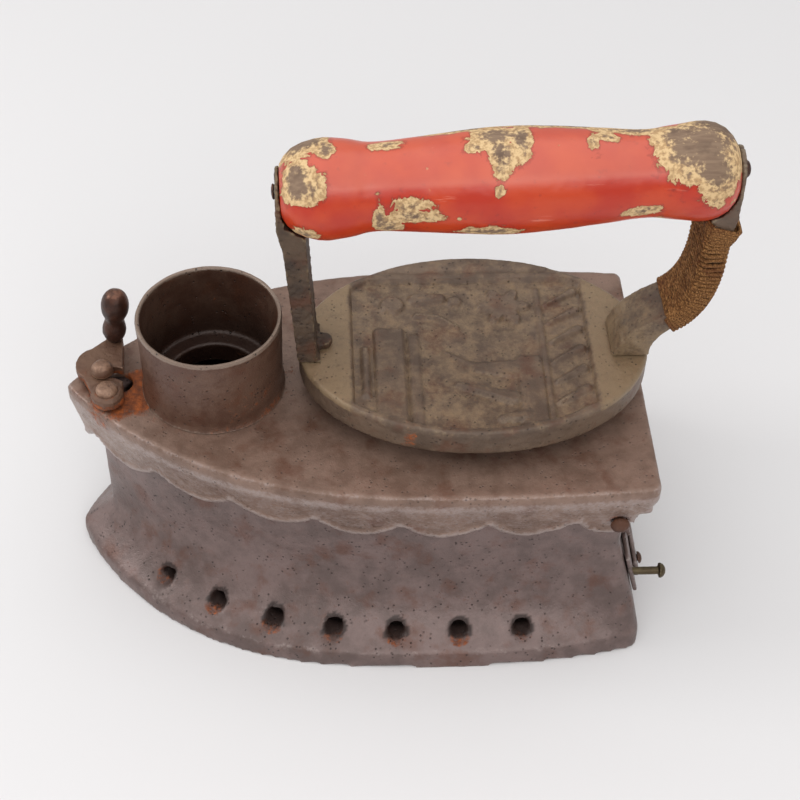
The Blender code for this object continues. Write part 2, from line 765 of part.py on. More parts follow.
def make_latch(iron, dark):
    lever = as_object("latch_lever", prism(lever_outline(), LEVER_BOTTOM, LEVER_TOP), "latch", iron)
    cut(lever, prism(hook_slot(), LEVER_BOTTOM - 3, LEVER_TOP + 3), "latch")
    low, high = LEVER_BOTTOM - 3, LEVER_TOP + 3
    cut(lever, pin((PIVOT_X, PIVOT_Y, low), (PIVOT_X, PIVOT_Y, high), PIVOT_RADIUS + CLEARANCE), "latch")
    tip = Vector((LEVER_TIP_X, LEVER_TIP_Y, 0))
    stem_hole = KNOB_STEM_RADIUS + CLEARANCE
    cut(lever, pin(tip + Vector((0, 0, low)), tip + Vector((0, 0, high)), stem_hole), "latch")

    washer_low = LID_TOP + CLEARANCE
    washer_high = LEVER_BOTTOM - CLEARANCE
    inner = PIVOT_RADIUS + CLEARANCE
    outer = PIVOT_HEAD_RADIUS + 0.8
    ring = [(outer, washer_low), (outer, washer_high), (inner, washer_high), (inner, washer_low)]
    mesh = turned(ring, SMALL, joined=True)
    mesh.transform(Matrix.Translation((PIVOT_X, PIVOT_Y, 0)))
    as_object("latch_washer", mesh, "lid", dark)

    flush = LID_TOP - LID_THICKNESS + 0.2
    profile = [(PIVOT_RADIUS, flush), (PIVOT_RADIUS, LEVER_TOP + CLEARANCE)]
    profile += dome(PIVOT_HEAD_RADIUS, LEVER_TOP + CLEARANCE, PIVOT_HEAD)
    mesh = turned(profile, SMALL)
    mesh.transform(Matrix.Translation((PIVOT_X, PIVOT_Y, 0)))
    as_object("latch_pivot_rivet", mesh, "lid", iron)

    profile = [(STUD_RADIUS, BOX_TOP - STUD_DEPTH), (STUD_RADIUS, LEVER_TOP + CLEARANCE)]
    profile += dome(STUD_HEAD_RADIUS, LEVER_TOP + CLEARANCE, STUD_HEAD)
    mesh = turned(profile, SMALL)
    mesh.transform(Matrix.Translation((STUD_X, STUD_Y, 0)))
    as_object("catch_stud", mesh, "root", iron)


def knob_profile():
    """The turned knob: a round collar, a waist and an egg-shaped ball."""
    ball = KNOB_HEIGHT - 9.0
    shape = [(0.66 * KNOB_COLLAR_RADIUS, 0.0)]
    shape += [(KNOB_COLLAR_RADIUS * s, z) for s, z in ((0.9, 1.6), (1.0, 3.6), (0.98, 5.4), (0.86, 7.4))]
    shape += [(0.69 * KNOB_RADIUS, 8.8)]
    for turn in (20, 45, 70, 95, 120, 145, 165):
        angle = math.radians(turn)
        shape.append((KNOB_RADIUS * math.sin(angle) ** 0.8, 9.0 + ball * 0.5 * (1 - math.cos(angle))))
    return shape


def make_knob(finish):
    mesh = turned(knob_profile(), MEDIUM)
    mesh.transform(Matrix.Rotation(math.radians(KNOB_LEAN), 4, "Y"))
    mesh.transform(Matrix.Translation((LEVER_TIP_X, LEVER_TIP_Y, LEVER_TOP + 2 * CLEARANCE)))
    knob = as_object("latch_knob", mesh, "latch", finish)
    base = Vector((LEVER_TIP_X, LEVER_TIP_Y, LEVER_BOTTOM + 0.2))
    join(knob, pin(base, base + Vector((0, 0, 7)), KNOB_STEM_RADIUS, SMALL), "latch")


# ---------------------------------------------------------------- heat shield


def ellipse(half_length, half_width, sides=48):
    turns = [2 * math.pi * step / sides for step in range(sides)]
    return [Vector((SHIELD_X + half_length * math.cos(t), half_width * math.sin(t))) for t in turns]


def make_heat_shield(finish):
    rim_low = SHIELD_TOP - SHIELD_RIM
    inner = (SHIELD_HALF_LENGTH - SHIELD_WALL, SHIELD_HALF_WIDTH - SHIELD_WALL)
    outer = (SHIELD_HALF_LENGTH, SHIELD_HALF_WIDTH)
    under = SHIELD_TOP - SHIELD_WALL
    rings = [
        at_height(ellipse(*inner), under),
        at_height(ellipse(*inner), rim_low),
        at_height(ellipse(*outer), rim_low),
        at_height(ellipse(*outer), SHIELD_TOP - SHIELD_EASED),
        at_height(ellipse(outer[0] - SHIELD_EASED, outer[1] - SHIELD_EASED), SHIELD_TOP),
    ]
    shield = as_object("heat_shield", lofted(rings), "lid", finish)
    for x in LEG_PLACES:
        leg = pin((x, 0, LID_TOP + CLEARANCE), (x, 0, SHIELD_TOP - 1.5), LEG_RADIUS, MEDIUM)
        join(shield, leg, "lid")
        blind = LID_TOP + SCREW_DEPTH + CLEARANCE
        cut(shield, pin((x, 0, LID_TOP - 3), (x, 0, blind), SCREW_RADIUS + CLEARANCE), "lid")
    panel = Vector((PANEL_HALF_LENGTH, PANEL_HALF_WIDTH, 0))
    centre = Vector((SHIELD_X, 0, 0))
    low = centre - panel + Vector((0, 0, SHIELD_TOP - PANEL_DEPTH))
    high = centre + panel + Vector((0, 0, SHIELD_TOP + 3))
    cut(shield, block(low, high), "lid")
    for x in (POST_TANG_X, ARM_TANG_X):
        hole = pin((x, 0, LID_TOP + 6), (x, 0, SHIELD_TOP + 3), TANG_RADIUS + CLEARANCE)
        cut(shield, hole, "lid")


# ---------------------------------------------------------------- handle


def grip_frame():
    """A frame at the grip's front end, with Z along its axis to the heel."""
    return along((GRIP_FRONT, 0, GRIP_FRONT_Z), (GRIP_REAR, 0, GRIP_REAR_Z))


def grip_length():
    return math.hypot(GRIP_REAR - GRIP_FRONT, GRIP_REAR_Z - GRIP_FRONT_Z)


def grip_profile(extra=0.0):
    """(radius, distance) along the grip: a bulb at each end, two waists and a belly."""
    length = grip_length()
    front = [(9.0, 0.0), (12.6, 2.2), (15.2, 6.2)]
    swell = [(16.7, 0.089), (15.6, 0.151), (14.2, 0.206), (15.3, 0.315), (17.2, 0.48)]
    swell += [(16.3, 0.631), (14.0, 0.788), (14.8, 0.85), (16.3, 0.927)]
    swell = [(radius, share * length) for radius, share in swell]
    back = [(15.0, length - 4.6), (12.0, length - 1.5), (9.0, length)]
    curve = front + [tuple(p) for p in smooth_through(swell, 3)] + back
    return [(radius + extra, z) for radius, z in curve]


def grip_envelope():
    profile = grip_profile(CLEARANCE + 0.05)
    profile[0] = (profile[0][0], -CLEARANCE)
    profile[-1] = (profile[-1][0], grip_length() + CLEARANCE)
    mesh = turned(profile, FINE)
    mesh.transform(grip_frame())
    return mesh


def make_grip(finish):
    mesh = turned(grip_profile(), 28)
    mesh.transform(grip_frame())
    grip = as_object("grip", mesh, "lid", finish)
    bore = turned([(GRIP_BORE, -5), (GRIP_BORE, grip_length() + 5)], SMALL)
    bore.transform(grip_frame())
    cut(grip, bore, "lid")


def make_handle_rod(iron):
    """The rod through the grip: a low head in front, and a domed nut over its rear end."""
    reach = STRAP + 2 * CLEARANCE
    tail = grip_length() + reach
    profile = [(0.6 * ROD_RADIUS, -reach - 1.0), (ROD_HEAD_RADIUS, -reach - 0.6), (ROD_HEAD_RADIUS, -reach)]
    profile += [(ROD_RADIUS, -reach), (ROD_RADIUS, tail + 1.0)]
    rod = turned(profile, SMALL)
    rod.transform(grip_frame())
    as_object("handle_rod", rod, "lid", iron)
    inner = ROD_RADIUS + CLEARANCE
    shape = [(ROD_NUT_RADIUS, tail), (ROD_NUT_RADIUS, tail + 1.2)]
    shape += [(0.77 * ROD_NUT_RADIUS, tail + 2.1), (0.27 * ROD_NUT_RADIUS, tail + 2.6)]
    dome_nut = turned(shape, SMALL)
    dome_nut.transform(grip_frame())
    nut = as_object("handle_nut", dome_nut, "lid", iron)
    seat = turned([(inner, tail - 2), (inner, tail + 1.0 + CLEARANCE)], SMALL)
    seat.transform(grip_frame())
    cut(nut, seat, "lid")


def strap_front(half_width, low, eye_z):
    """The outline, seen along X, of a bar that ends in a round eye: (y, z) pairs."""
    shape = [(-half_width, low), (half_width, low), (half_width, eye_z - 18)]
    for step in range(13):
        angle = math.radians(180 * step / 12)
        shape.append((EYE_RADIUS * math.cos(angle), eye_z + EYE_RADIUS * math.sin(angle)))
    shape.append((-half_width, eye_z - 18))
    return shape


def facing_x(shape, low, high):
    return lofted([[Vector((x, y, z)) for y, z in shape] for x in (low, high)])


def make_tang(piece, x, foot_z):
    low = SHIELD_TOP - SHIELD_WALL - WASHER_THICKNESS - NUT_HEIGHT - 1.2
    join(piece, pin((x, 0, low), (x, 0, foot_z + 4), TANG_RADIUS, SMALL), "lid")


def make_front_post(finish):
    foot_z = SHIELD_TOP + CLEARANCE
    strap_x = GRIP_FRONT - CLEARANCE - STRAP
    bar_top = GRIP_FRONT_Z - 9.4
    eye_top = GRIP_FRONT_Z + EYE_RADIUS + 3
    profile = [
        (POST_FOOT[0], foot_z),
        (POST_FOOT[1] + 1.6, foot_z),
        (POST_FOOT[1] + 0.4, foot_z + 1.8),
        (POST_HEAD[1], bar_top - 6),
        (POST_HEAD[1], bar_top),
        (GRIP_FRONT + 0.7, bar_top),
        (GRIP_FRONT + 0.7, eye_top),
        (strap_x, eye_top),
        (strap_x, bar_top - 1),
        (POST_HEAD[0], bar_top - 9),
    ]
    post = as_object("front_post", upright(profile, POST_HALF_WIDTH + 2), "lid", finish)
    shape = strap_front(POST_HALF_WIDTH, foot_z - 5, GRIP_FRONT_Z)
    keep_inside(post, facing_x(shape, strap_x - 5, POST_FOOT[1] + 8), "lid")
    cut(post, grip_envelope(), "lid")
    cut_eye(post)
    toe_top = foot_z + POST_TOE_HEIGHT
    join(post, pin((POST_TANG_X, 0, foot_z), (POST_TANG_X, 0, toe_top), POST_TOE, SMALL), "lid")
    neck = block((POST_FOOT[1] - 2, -POST_TOE, foot_z), (POST_TANG_X, POST_TOE, toe_top))
    join(post, neck, "lid")
    make_tang(post, POST_TANG_X, foot_z - 3)


def cut_eye(piece):
    bore = turned([(ROD_RADIUS + CLEARANCE, -12), (ROD_RADIUS + CLEARANCE, grip_length() + 12)], SMALL)
    bore.transform(grip_frame())
    cut(piece, bore, "lid")


# The arm's middle line: behind the shield's rear end, above its top, and the half thickness there.
ARM_KEYS = (
    (-7.5, 0.3, 6.5),
    (-5.1, 7.2, 5.3),
    (0.7, 13.8, 3.7),
    (7.5, 18.8, ARM_HALF_THICKNESS),
    (12.3, 26.6, ARM_HALF_THICKNESS),
    (14.6, 37.2, ARM_HALF_THICKNESS),
    (15.1, 51.0, ARM_HALF_THICKNESS),
)
ARM_STEPS = 4
WRAP_FIRST = 10
WRAP_LAST = 23


def arm_stations():
    """Places along the rear arm: middle (x, z), unit direction and half thickness."""
    keys = [Vector((SHIELD_REAR + x, SHIELD_TOP + z, thick)) for x, z, thick in ARM_KEYS]
    curve = smooth_through(keys, ARM_STEPS)
    stations = []
    for index, point in enumerate(curve):
        before = curve[max(0, index - 1)]
        after = curve[min(len(curve) - 1, index + 1)]
        run = Vector((after.x - before.x, after.y - before.y)).normalized()
        stations.append((Vector((point.x, point.y)), run, max(point.z, ARM_HALF_THICKNESS)))
    return stations


def make_rear_arm(finish):
    foot_z = SHIELD_TOP + CLEARANCE
    strap_x = GRIP_REAR + CLEARANCE + STRAP
    bar_top = GRIP_REAR_Z - 10.0
    eye_top = GRIP_REAR_Z + EYE_RADIUS + 3
    outer = []
    inner = []
    for middle, run, half in arm_stations():
        aside = Vector((run.y, -run.x)) * half
        outer.append(middle + aside)
        inner.append(middle - aside)
    foot_x = SHIELD_REAR + ARM_KEYS[0][0]
    outer[0] = Vector((foot_x + ARM_KEYS[0][2], foot_z))
    inner[0] = Vector((foot_x - ARM_KEYS[0][2], foot_z))
    top = [
        Vector((strap_x, bar_top - 4)),
        Vector((strap_x, eye_top)),
        Vector((GRIP_REAR - 0.7, eye_top)),
        Vector((GRIP_REAR - 0.7, bar_top)),
        Vector((inner[-1].x, bar_top)),
    ]
    profile = [(p.x, p.y) for p in outer + top + inner[::-1]]
    arm = as_object("rear_arm", upright(profile, ARM_HALF_WIDTH + 2), "lid", finish)
    shape = strap_front(ARM_HALF_WIDTH, foot_z - 5, GRIP_REAR_Z)
    keep_inside(arm, facing_x(shape, inner[0].x - 5, strap_x + 5), "lid")
    cut(arm, grip_envelope(), "lid")
    cut_eye(arm)
    make_tang(arm, ARM_TANG_X, foot_z)


def wrap_ring(middle, run, half, half_width, corner):
    """A rectangle with cut corners across the arm at one station."""
    aside = Vector((run.y, 0, -run.x))
    centre = Vector((middle.x, 0, middle.y))
    ring = []
    for a, b in (
        (half, half_width - corner),
        (half - corner, half_width),
        (corner - half, half_width),
        (-half, half_width - corner),
        (-half, corner - half_width),
        (corner - half, -half_width),
        (half - corner, -half_width),
        (half, corner - half_width),
    ):
        ring.append(centre + aside * a + Vector((0, b, 0)))
    return ring


def make_twine_wrap(finish):
    stations = arm_stations()[WRAP_FIRST : WRAP_LAST + 1]
    outer = []
    inner = []
    for middle, run, half in stations:
        inside = half + CLEARANCE
        inner.append(wrap_ring(middle, run, inside, ARM_HALF_WIDTH + CLEARANCE, 0.05))
        outside = inside + TWINE
        outer.append(wrap_ring(middle, run, outside, ARM_HALF_WIDTH + CLEARANCE + TWINE, 1.4))
    as_object("twine_wrap", lofted(outer + inner[::-1], joined=True), "lid", finish)


def make_nuts(iron, dark):
    under = SHIELD_TOP - SHIELD_WALL - CLEARANCE
    inner = TANG_RADIUS + CLEARANCE
    for x, name in ((POST_TANG_X, "post"), (ARM_TANG_X, "arm")):
        low = under - WASHER_THICKNESS
        ring = [(WASHER_RADIUS, low), (WASHER_RADIUS, under), (inner, under), (inner, low)]
        mesh = turned(ring, 18, joined=True)
        mesh.transform(Matrix.Translation((x, 0, 0)))
        as_object(name + "_washer", mesh, "lid", dark)
        high = low - CLEARANCE
        nut = as_object(
            name + "_nut",
            pin((x, 0, high - NUT_HEIGHT), (x, 0, high), NUT_RADIUS, 6),
            "lid",
            iron,
        )
        cut(nut, pin((x, 0, high - NUT_HEIGHT - 3), (x, 0, high + 3), inner), "lid")


def make_shield_screws(finish):
    under = LID_TOP - LID_THICKNESS - CLEARANCE
    for x, name in zip(LEG_PLACES, ("front", "rear")):
        profile = [(0.6 * SCREW_HEAD_RADIUS, under - SCREW_HEAD)]
        profile += [(SCREW_HEAD_RADIUS, under - 0.5 * SCREW_HEAD), (SCREW_HEAD_RADIUS, under)]
        profile += [(SCREW_RADIUS, under), (SCREW_RADIUS, LID_TOP + SCREW_DEPTH)]
        mesh = turned(profile, SMALL)
        mesh.transform(Matrix.Translation((x, 0, 0)))
        as_object("shield_screw_" + name, mesh, "lid", finish)


# ---------------------------------------------------------------- draught slide


def make_slide(finish, bright):
    low = SLIDE_SEAT
    high = low + SLIDE_THICKNESS
    plate = block((SLIDE_NEAR, -SLIDE_HALF_WIDTH, low), (SLIDE_FAR, SLIDE_HALF_WIDTH, high))
    slide = as_object("draught_slide", on_heel(plate), "slide", finish)
    for x in draught_places(-SLIDE_TRAVEL):
        cut(slide, on_heel(pin((x, 0, -5), (x, 0, 9), DRAUGHT_RADIUS, SMALL)), "slide")
    surface = heel_x(PULL_Z)
    hole = PULL_RADIUS + CLEARANCE
    cut(slide, pin((surface - 8, PULL_Y, PULL_Z), (surface + 9, PULL_Y, PULL_Z), hole), "slide")
    start = surface + low / math.cos(HEEL_SLOPE) + 0.6
    profile = [(PULL_RADIUS, 0), (PULL_RADIUS, PULL_LENGTH)]
    profile += dome(PULL_HEAD_RADIUS, PULL_LENGTH, PULL_HEAD)
    mesh = turned(profile, SMALL)
    mesh.transform(along((start, PULL_Y, PULL_Z), (start + 1, PULL_Y, PULL_Z)))
    as_object("draught_pull", mesh, "slide", bright)


def make_rails(iron, dark):
    inner = SLIDE_HALF_WIDTH + SLIDE_RUNNING
    lip_low = SLIDE_SEAT + SLIDE_THICKNESS + CLEARANCE
    section = [
        (inner, CLEARANCE),
        (inner + RAIL_HEIGHT, CLEARANCE),
        (inner + RAIL_HEIGHT, lip_low + RAIL_LIP_THICKNESS),
        (inner - RAIL_LIP, lip_low + RAIL_LIP_THICKNESS),
        (inner - RAIL_LIP, lip_low),
        (inner, lip_low),
    ]
    rails = []
    for name, side in (("slide_rail_upper", 1), ("slide_rail_lower", -1)):
        ends = (RAIL_SHIFT - RAIL_HALF_LENGTH, RAIL_SHIFT + RAIL_HALF_LENGTH)
        rings = [[Vector((x, side * y, z)) for y, z in section] for x in ends]
        rails.append(as_object(name, on_heel(lofted(rings)), "root", iron))
    top = lip_low + RAIL_LIP_THICKNESS
    for number, (x, y) in enumerate(rivet_places()):
        rail = rails[0] if y > 0 else rails[1]
        cut(rail, on_heel(pin((x, y, -3), (x, y, top + 3), RIVET_RADIUS + CLEARANCE, 8)))
        seat = top + CLEARANCE
        profile = [(RIVET_RADIUS, -RIVET_DEPTH), (RIVET_RADIUS, seat)]
        profile += dome(RIVET_HEAD_RADIUS, seat, RIVET_HEAD)
        mesh = turned(profile, 10)
        mesh.transform(Matrix.Translation((x, y, 0)))
        as_object(f"rail_rivet_{number + 1}", on_heel(mesh), "root", dark)


# ---------------------------------------------------------------- the whole iron


def clear_scene():
    for item in list(bpy.data.objects):
        bpy.data.objects.remove(item, do_unlink=True)


clear_scene()
AXES = make_body_axes()

cast_iron = material("cast_iron", (0.16, 0.13, 0.115), 0.62, 0.55)
lid_iron = material("lid_iron", (0.14, 0.11, 0.09), 0.6, 0.5)
shield_iron = material("shield_iron", (0.16, 0.14, 0.11), 0.7, 0.45)
rusty_iron = material("rusty_iron", (0.22, 0.12, 0.06), 0.75, 0.3)
dark_steel = material("dark_steel", (0.07, 0.05, 0.045), 0.5, 0.7)
bright_steel = material("bright_steel", (0.25, 0.22, 0.15), 0.45, 0.8)
red_paint = material("red_paint", (0.62, 0.07, 0.025), 0.32, 0.0)
brown_twine = material("brown_twine", (0.19, 0.1, 0.045), 0.9, 0.0)

make_fire_box(cast_iron)
make_grate(dark_steel)
make_lid(lid_iron)
make_chimney(lid_iron)
make_hinge(rusty_iron)
make_latch(rusty_iron, dark_steel)
make_knob(dark_steel)
make_heat_shield(shield_iron)
make_front_post(shield_iron)
make_rear_arm(shield_iron)
make_twine_wrap(brown_twine)
make_grip(red_paint)
make_handle_rod(dark_steel)
make_nuts(dark_steel, rusty_iron)
make_shield_screws(rusty_iron)
make_slide(rusty_iron, bright_steel)
make_rails(cast_iron, rusty_iron)
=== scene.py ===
"""The looks of a charcoal clothes iron.

It has rough brown castings, rusty fittings, a chipped red grip and a twine binding. Shapes are made in
millimetres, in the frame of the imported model, and brought to metres when a piece is finished.
X runs from the nose (-) to the heel (+), Y across, Z up.
"""

import math
import random

import bmesh
import bpy
import numpy as np
from mathutils import Matrix, Vector, noise


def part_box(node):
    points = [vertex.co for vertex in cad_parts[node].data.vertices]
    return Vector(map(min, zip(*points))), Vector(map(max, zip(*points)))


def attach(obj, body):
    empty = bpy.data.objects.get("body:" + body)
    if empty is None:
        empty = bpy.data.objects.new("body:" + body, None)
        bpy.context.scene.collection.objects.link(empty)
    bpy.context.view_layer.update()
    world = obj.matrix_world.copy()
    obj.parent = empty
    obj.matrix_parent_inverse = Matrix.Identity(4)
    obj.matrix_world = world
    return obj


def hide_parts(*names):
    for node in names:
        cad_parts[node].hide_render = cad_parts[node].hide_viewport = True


MM = 0.001
FULL_TURN = 2 * math.pi

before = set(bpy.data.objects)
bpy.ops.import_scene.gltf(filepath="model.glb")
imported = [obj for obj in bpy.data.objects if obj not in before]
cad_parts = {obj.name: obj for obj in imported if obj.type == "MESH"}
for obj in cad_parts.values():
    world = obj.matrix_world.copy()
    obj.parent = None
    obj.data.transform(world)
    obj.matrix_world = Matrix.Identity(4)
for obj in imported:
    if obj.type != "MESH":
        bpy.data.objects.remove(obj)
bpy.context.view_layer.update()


def box_mm(node):
    """The lowest and highest corner of a node, in millimetres."""
    return [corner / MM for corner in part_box(node)]


def middle_mm(node):
    low, high = box_mm(node)
    return (low + high) / 2


# ---------------------------------------------------------------- camera, floor and light


CAMERA_TARGET = Vector((15.37, -10.33, 80.0))
CAMERA_DISTANCE = 588.17
CAMERA_AZIMUTH = math.radians(3.86)
CAMERA_PITCH = math.radians(46.78)
CAMERA_ROLL = math.radians(1.76)
CAMERA_LENS = 74.73
CAMERA_SENSOR = 36.0


def make_camera():
    camera = bpy.data.objects.new("camera", bpy.data.cameras.new("camera"))
    bpy.context.scene.collection.objects.link(camera)
    camera.data.sensor_width = CAMERA_SENSOR
    camera.data.lens = CAMERA_LENS
    camera.data.clip_start = 0.01
    level = math.cos(CAMERA_PITCH)
    along_x = math.sin(CAMERA_AZIMUTH) * level
    along_y = math.cos(CAMERA_AZIMUTH) * level
    ahead = Vector((along_x, along_y, -math.sin(CAMERA_PITCH)))
    across = Vector((math.cos(CAMERA_AZIMUTH), -math.sin(CAMERA_AZIMUTH), 0))
    turn = Matrix((across, across.cross(ahead), -ahead)).transposed()
    turn = turn @ Matrix.Rotation(CAMERA_ROLL, 3, "Z")
    place = (CAMERA_TARGET - ahead * CAMERA_DISTANCE) * MM
    camera.matrix_world = Matrix.Translation(place) @ turn.to_4x4()
    bpy.context.scene.camera = camera


def make_light(name, place, target, width, depth, watts, colour):
    data = bpy.data.lights.new(name, "AREA")
    data.shape = "RECTANGLE"
    data.size = width
    data.size_y = depth
    data.energy = watts
    data.color = colour
    light = bpy.data.objects.new(name, data)
    bpy.context.scene.collection.objects.link(light)
    light.location = place
    light.rotation_euler = (Vector(target) - Vector(place)).to_track_quat("-Z", "Y").to_euler()


def make_studio():
    world = bpy.data.worlds.new("studio")
    bpy.context.scene.world = world
    world.use_nodes = True
    background = world.node_tree.nodes["Background"]
    background.inputs["Color"].default_value = (0.97, 0.965, 0.96, 1.0)
    background.inputs["Strength"].default_value = 0.44
    middle = (0.0, 0.0, 0.07)
    make_light("ceiling", (0.0, -0.6, 1.2), (0.0, -0.6, 0.0), 2.4, 3.2, 22.0, (1.0, 0.995, 0.99))
    make_light("softbox_front", (0.2, -1.25, 0.85), middle, 1.0, 0.5, 3.0, (1.0, 0.98, 0.96))
    make_light("key_left", (-0.95, 0.1, 0.6), middle, 0.35, 0.35, 3.0, (1.0, 0.99, 0.98))
    bpy.context.scene.view_settings.view_transform = "Standard"


# ---------------------------------------------------------------- finishes


def srgb(red, green, blue):
    """A colour given in 0 to 255 as the linear values that a shader takes."""
    linear = []
    for part in (red, green, blue):
        share = part / 255
        linear.append(share / 12.92 if share <= 0.04045 else ((share + 0.055) / 1.055) ** 2.4)
    return (*linear, 1.0)


class Value:
    """A number that varies over a surface, with the arithmetic that adds its own Math nodes."""

    def __init__(self, finish, socket):
        self.finish = finish
        self.socket = socket

    def math(self, operation, first, second=0.5):
        made = self.finish.node("ShaderNodeMath", {"operation": operation}, {0: first, 1: second})
        return Value(self.finish, made.outputs[0])

    def __add__(self, other):
        return self.math("ADD", self, other)

    def __radd__(self, other):
        return self.math("ADD", other, self)

    def __sub__(self, other):
        return self.math("SUBTRACT", self, other)

    def __rsub__(self, other):
        return self.math("SUBTRACT", other, self)

    def __mul__(self, other):
        return self.math("MULTIPLY", self, other)

    def __rmul__(self, other):
        return self.math("MULTIPLY", other, self)

    def least(self, other):
        return self.math("MINIMUM", self, other)

    def most(self, other):
        return self.math("MAXIMUM", self, other)

    def step(self, low, high):
        """0 below low, 1 above high and smooth between; the other way round if low is above high."""
        settings = {"interpolation_type": "SMOOTHSTEP"}
        falling = low > high
        ends = {1: min(low, high), 2: max(low, high), 3: float(falling), 4: float(not falling)}
        made = self.finish.node("ShaderNodeMapRange", settings, {0: self, **ends})
        return Value(self.finish, made.outputs[0])


class Finish:
    """A material and the nodes that vary it. Lengths are in millimetres."""

    def __init__(self, name, metallic=0.0, specular=0.5):
        self.material = bpy.data.materials.new(name)
        self.material.use_nodes = True
        self.tree = self.material.node_tree
        self.shader = self.tree.nodes["Principled BSDF"]
        self.shader.inputs["Metallic"].default_value = metallic
        self.shader.inputs["Specular IOR Level"].default_value = specular
        self.place = self.node("ShaderNodeTexCoord").outputs["Object"]

    def node(self, kind, settings=None, inputs=None):
        made = self.tree.nodes.new(kind)
        for key, value in (settings or {}).items():
            if key == "stops":
                self.set_stops(made.color_ramp, value)
            else:
                setattr(made, key, value)
        for key, value in (inputs or {}).items():
            self.feed(made.inputs[key], value)
        return made

    def set_stops(self, ramp, stops):
        while len(ramp.elements) < len(stops):
            ramp.elements.new(0.5)
        for element, (place, colour) in zip(ramp.elements, stops):
            element.position = place
            element.color = colour

    def feed(self, socket, value):
        if isinstance(value, Value):
            self.tree.links.new(value.socket, socket)
        elif isinstance(value, bpy.types.NodeSocket):
            self.tree.links.new(value, socket)
        else:
            socket.default_value = value

    def noise(self, size, detail=4.0, rough=0.55, stretch=(1, 1, 1), warp=0.0):
        """Cloudy values about 0.5, with features of about this size."""
        scale = tuple(1 / part for part in stretch)
        place = self.node("ShaderNodeMapping", {}, {"Vector": self.place, "Scale": scale}).outputs[0]
        inputs = {"Vector": place, "Scale": 1 / (size * MM)}
        inputs |= {"Detail": detail, "Roughness": rough, "Distortion": warp}
        return Value(self, self.node("ShaderNodeTexNoise", {}, inputs).outputs[0])

    def cells(self, size):
        """Distance to the nearest of many scattered points, 0 on a point and about 0.6 between them."""
        inputs = {"Vector": self.place, "Scale": 1 / (size * MM)}
        return Value(self, self.node("ShaderNodeTexVoronoi", {}, inputs).outputs["Distance"])

    def attribute(self, name):
        return Value(self, self.node("ShaderNodeAttribute", {"attribute_name": name}).outputs["Fac"])

    def mix(self, low, high, factor):
        made = self.node("ShaderNodeMix", {"data_type": "RGBA"}, {0: factor, 6: low, 7: high})
        return made.outputs[2]

    def ramp(self, value, *stops):
        return self.node("ShaderNodeValToRGB", {"stops": stops}, {0: value}).outputs[0]

    def dress(self, colour, roughness, height):
        """Feeds the shader its colour, its roughness and a bump whose height is in millimetres."""
        self.feed(self.shader.inputs["Base Color"], colour)
        self.feed(self.shader.inputs["Roughness"], roughness)
        bump = self.node("ShaderNodeBump", {}, {"Strength": 1.0, "Distance": MM, "Height": height})
        self.feed(self.shader.inputs["Normal"], bump.outputs[0])
        return self.material


RUST_BRIGHT = srgb(178, 96, 44)
RUST_DARK = srgb(96, 54, 34)


def iron_finish(name, ground, shade, pale_worn_and_sheen, rusty=0.0, pitted=0.5, smooth=0.36, metallic=0.25, dust=None):
    """Old cast iron: two grounds in clouds, pale where handled and where a part paints a sheen, painted shade
    in corners, orange and brown where rust has taken.
    """
    f = Finish(name, metallic)
    edge = f.attribute("edge")
    rust = f.attribute("rust")
    # This mark is pale scuffing on most parts, dust on the shield and rear arm, and painted sheen on the fire
    # box's ledge and the lid's apron.
    wear = f.attribute("wear")
    soot = f.attribute("soot")
    clouds = f.noise(26, 3)
    blotches = f.noise(6.0, 5, 0.62)
    grain = f.noise(1.3, 4, 0.7)
    fine = f.noise(0.5, 3, 0.6)
    warm = f.noise(11.0, 4, 0.6)
    colour = f.mix(shade, ground, (clouds * 0.5 + blotches * 0.5).step(0.38, 0.62))
    stained = (warm.step(0.5, 0.72) * 0.55).most((grain * blotches).step(0.33, 0.42) * 0.4)
    colour = f.mix(colour, RUST_DARK, stained)
    if dust:
        dusty = (wear + (blotches - 0.5) * 1.0 + (grain - 0.5) * 0.8).step(0.35, 0.95)
        colour = f.mix(colour, dust, dusty * 0.85)
    # Paler on scuffed edges, and where a part's mark paints sheen.
    rubbed_and_sheen = edge + (grain - 0.5) * 1.1 + (blotches - 0.5) * 0.7
    if not dust:
        rubbed_and_sheen = rubbed_and_sheen + wear * 0.75
    rubbed_and_sheen = rubbed_and_sheen.step(0.42, 0.95)
    colour = f.mix(colour, pale_worn_and_sheen, rubbed_and_sheen * 0.5)
    # Painted shade: corners and creases, where the edge mark is low, are mixed towards near-black brown.
    painted_corner_shade = (0.0 - edge + (grain - 0.5) * 0.5).step(0.35, 1.0)
    colour = f.mix(colour, srgb(38, 28, 24), painted_corner_shade * 0.9)
    rusting = (rust + rusty + (blotches - 0.5) * 1.3 + (grain - 0.5) * 0.7).step(0.42, 0.85)
    flakes = f.noise(2.6, 5, 0.65)
    rust_colour = f.ramp(flakes, (0.34, RUST_DARK), (0.5, srgb(134, 72, 38)), (0.66, RUST_BRIGHT))
    colour = f.mix(colour, rust_colour, rusting)
    pits = f.cells(1.9).step(0.26, 0.1) * f.noise(5.0, 2).step(0.42, 0.6)
    colour = f.mix(colour, srgb(30, 22, 19), pits * pitted)
    colour = f.mix(colour, srgb(36, 24, 20), soot * 0.8)
    height = grain * 0.16 + fine * 0.05 + blotches * 0.12 + rusting * flakes * 0.25 - pits * 0.3 * pitted
    rough = (smooth + rusting * 0.3 + (blotches - 0.5) * 0.25 - rubbed_and_sheen * 0.1).most(0.3).least(0.95)
    return f.dress(colour, rough, height)


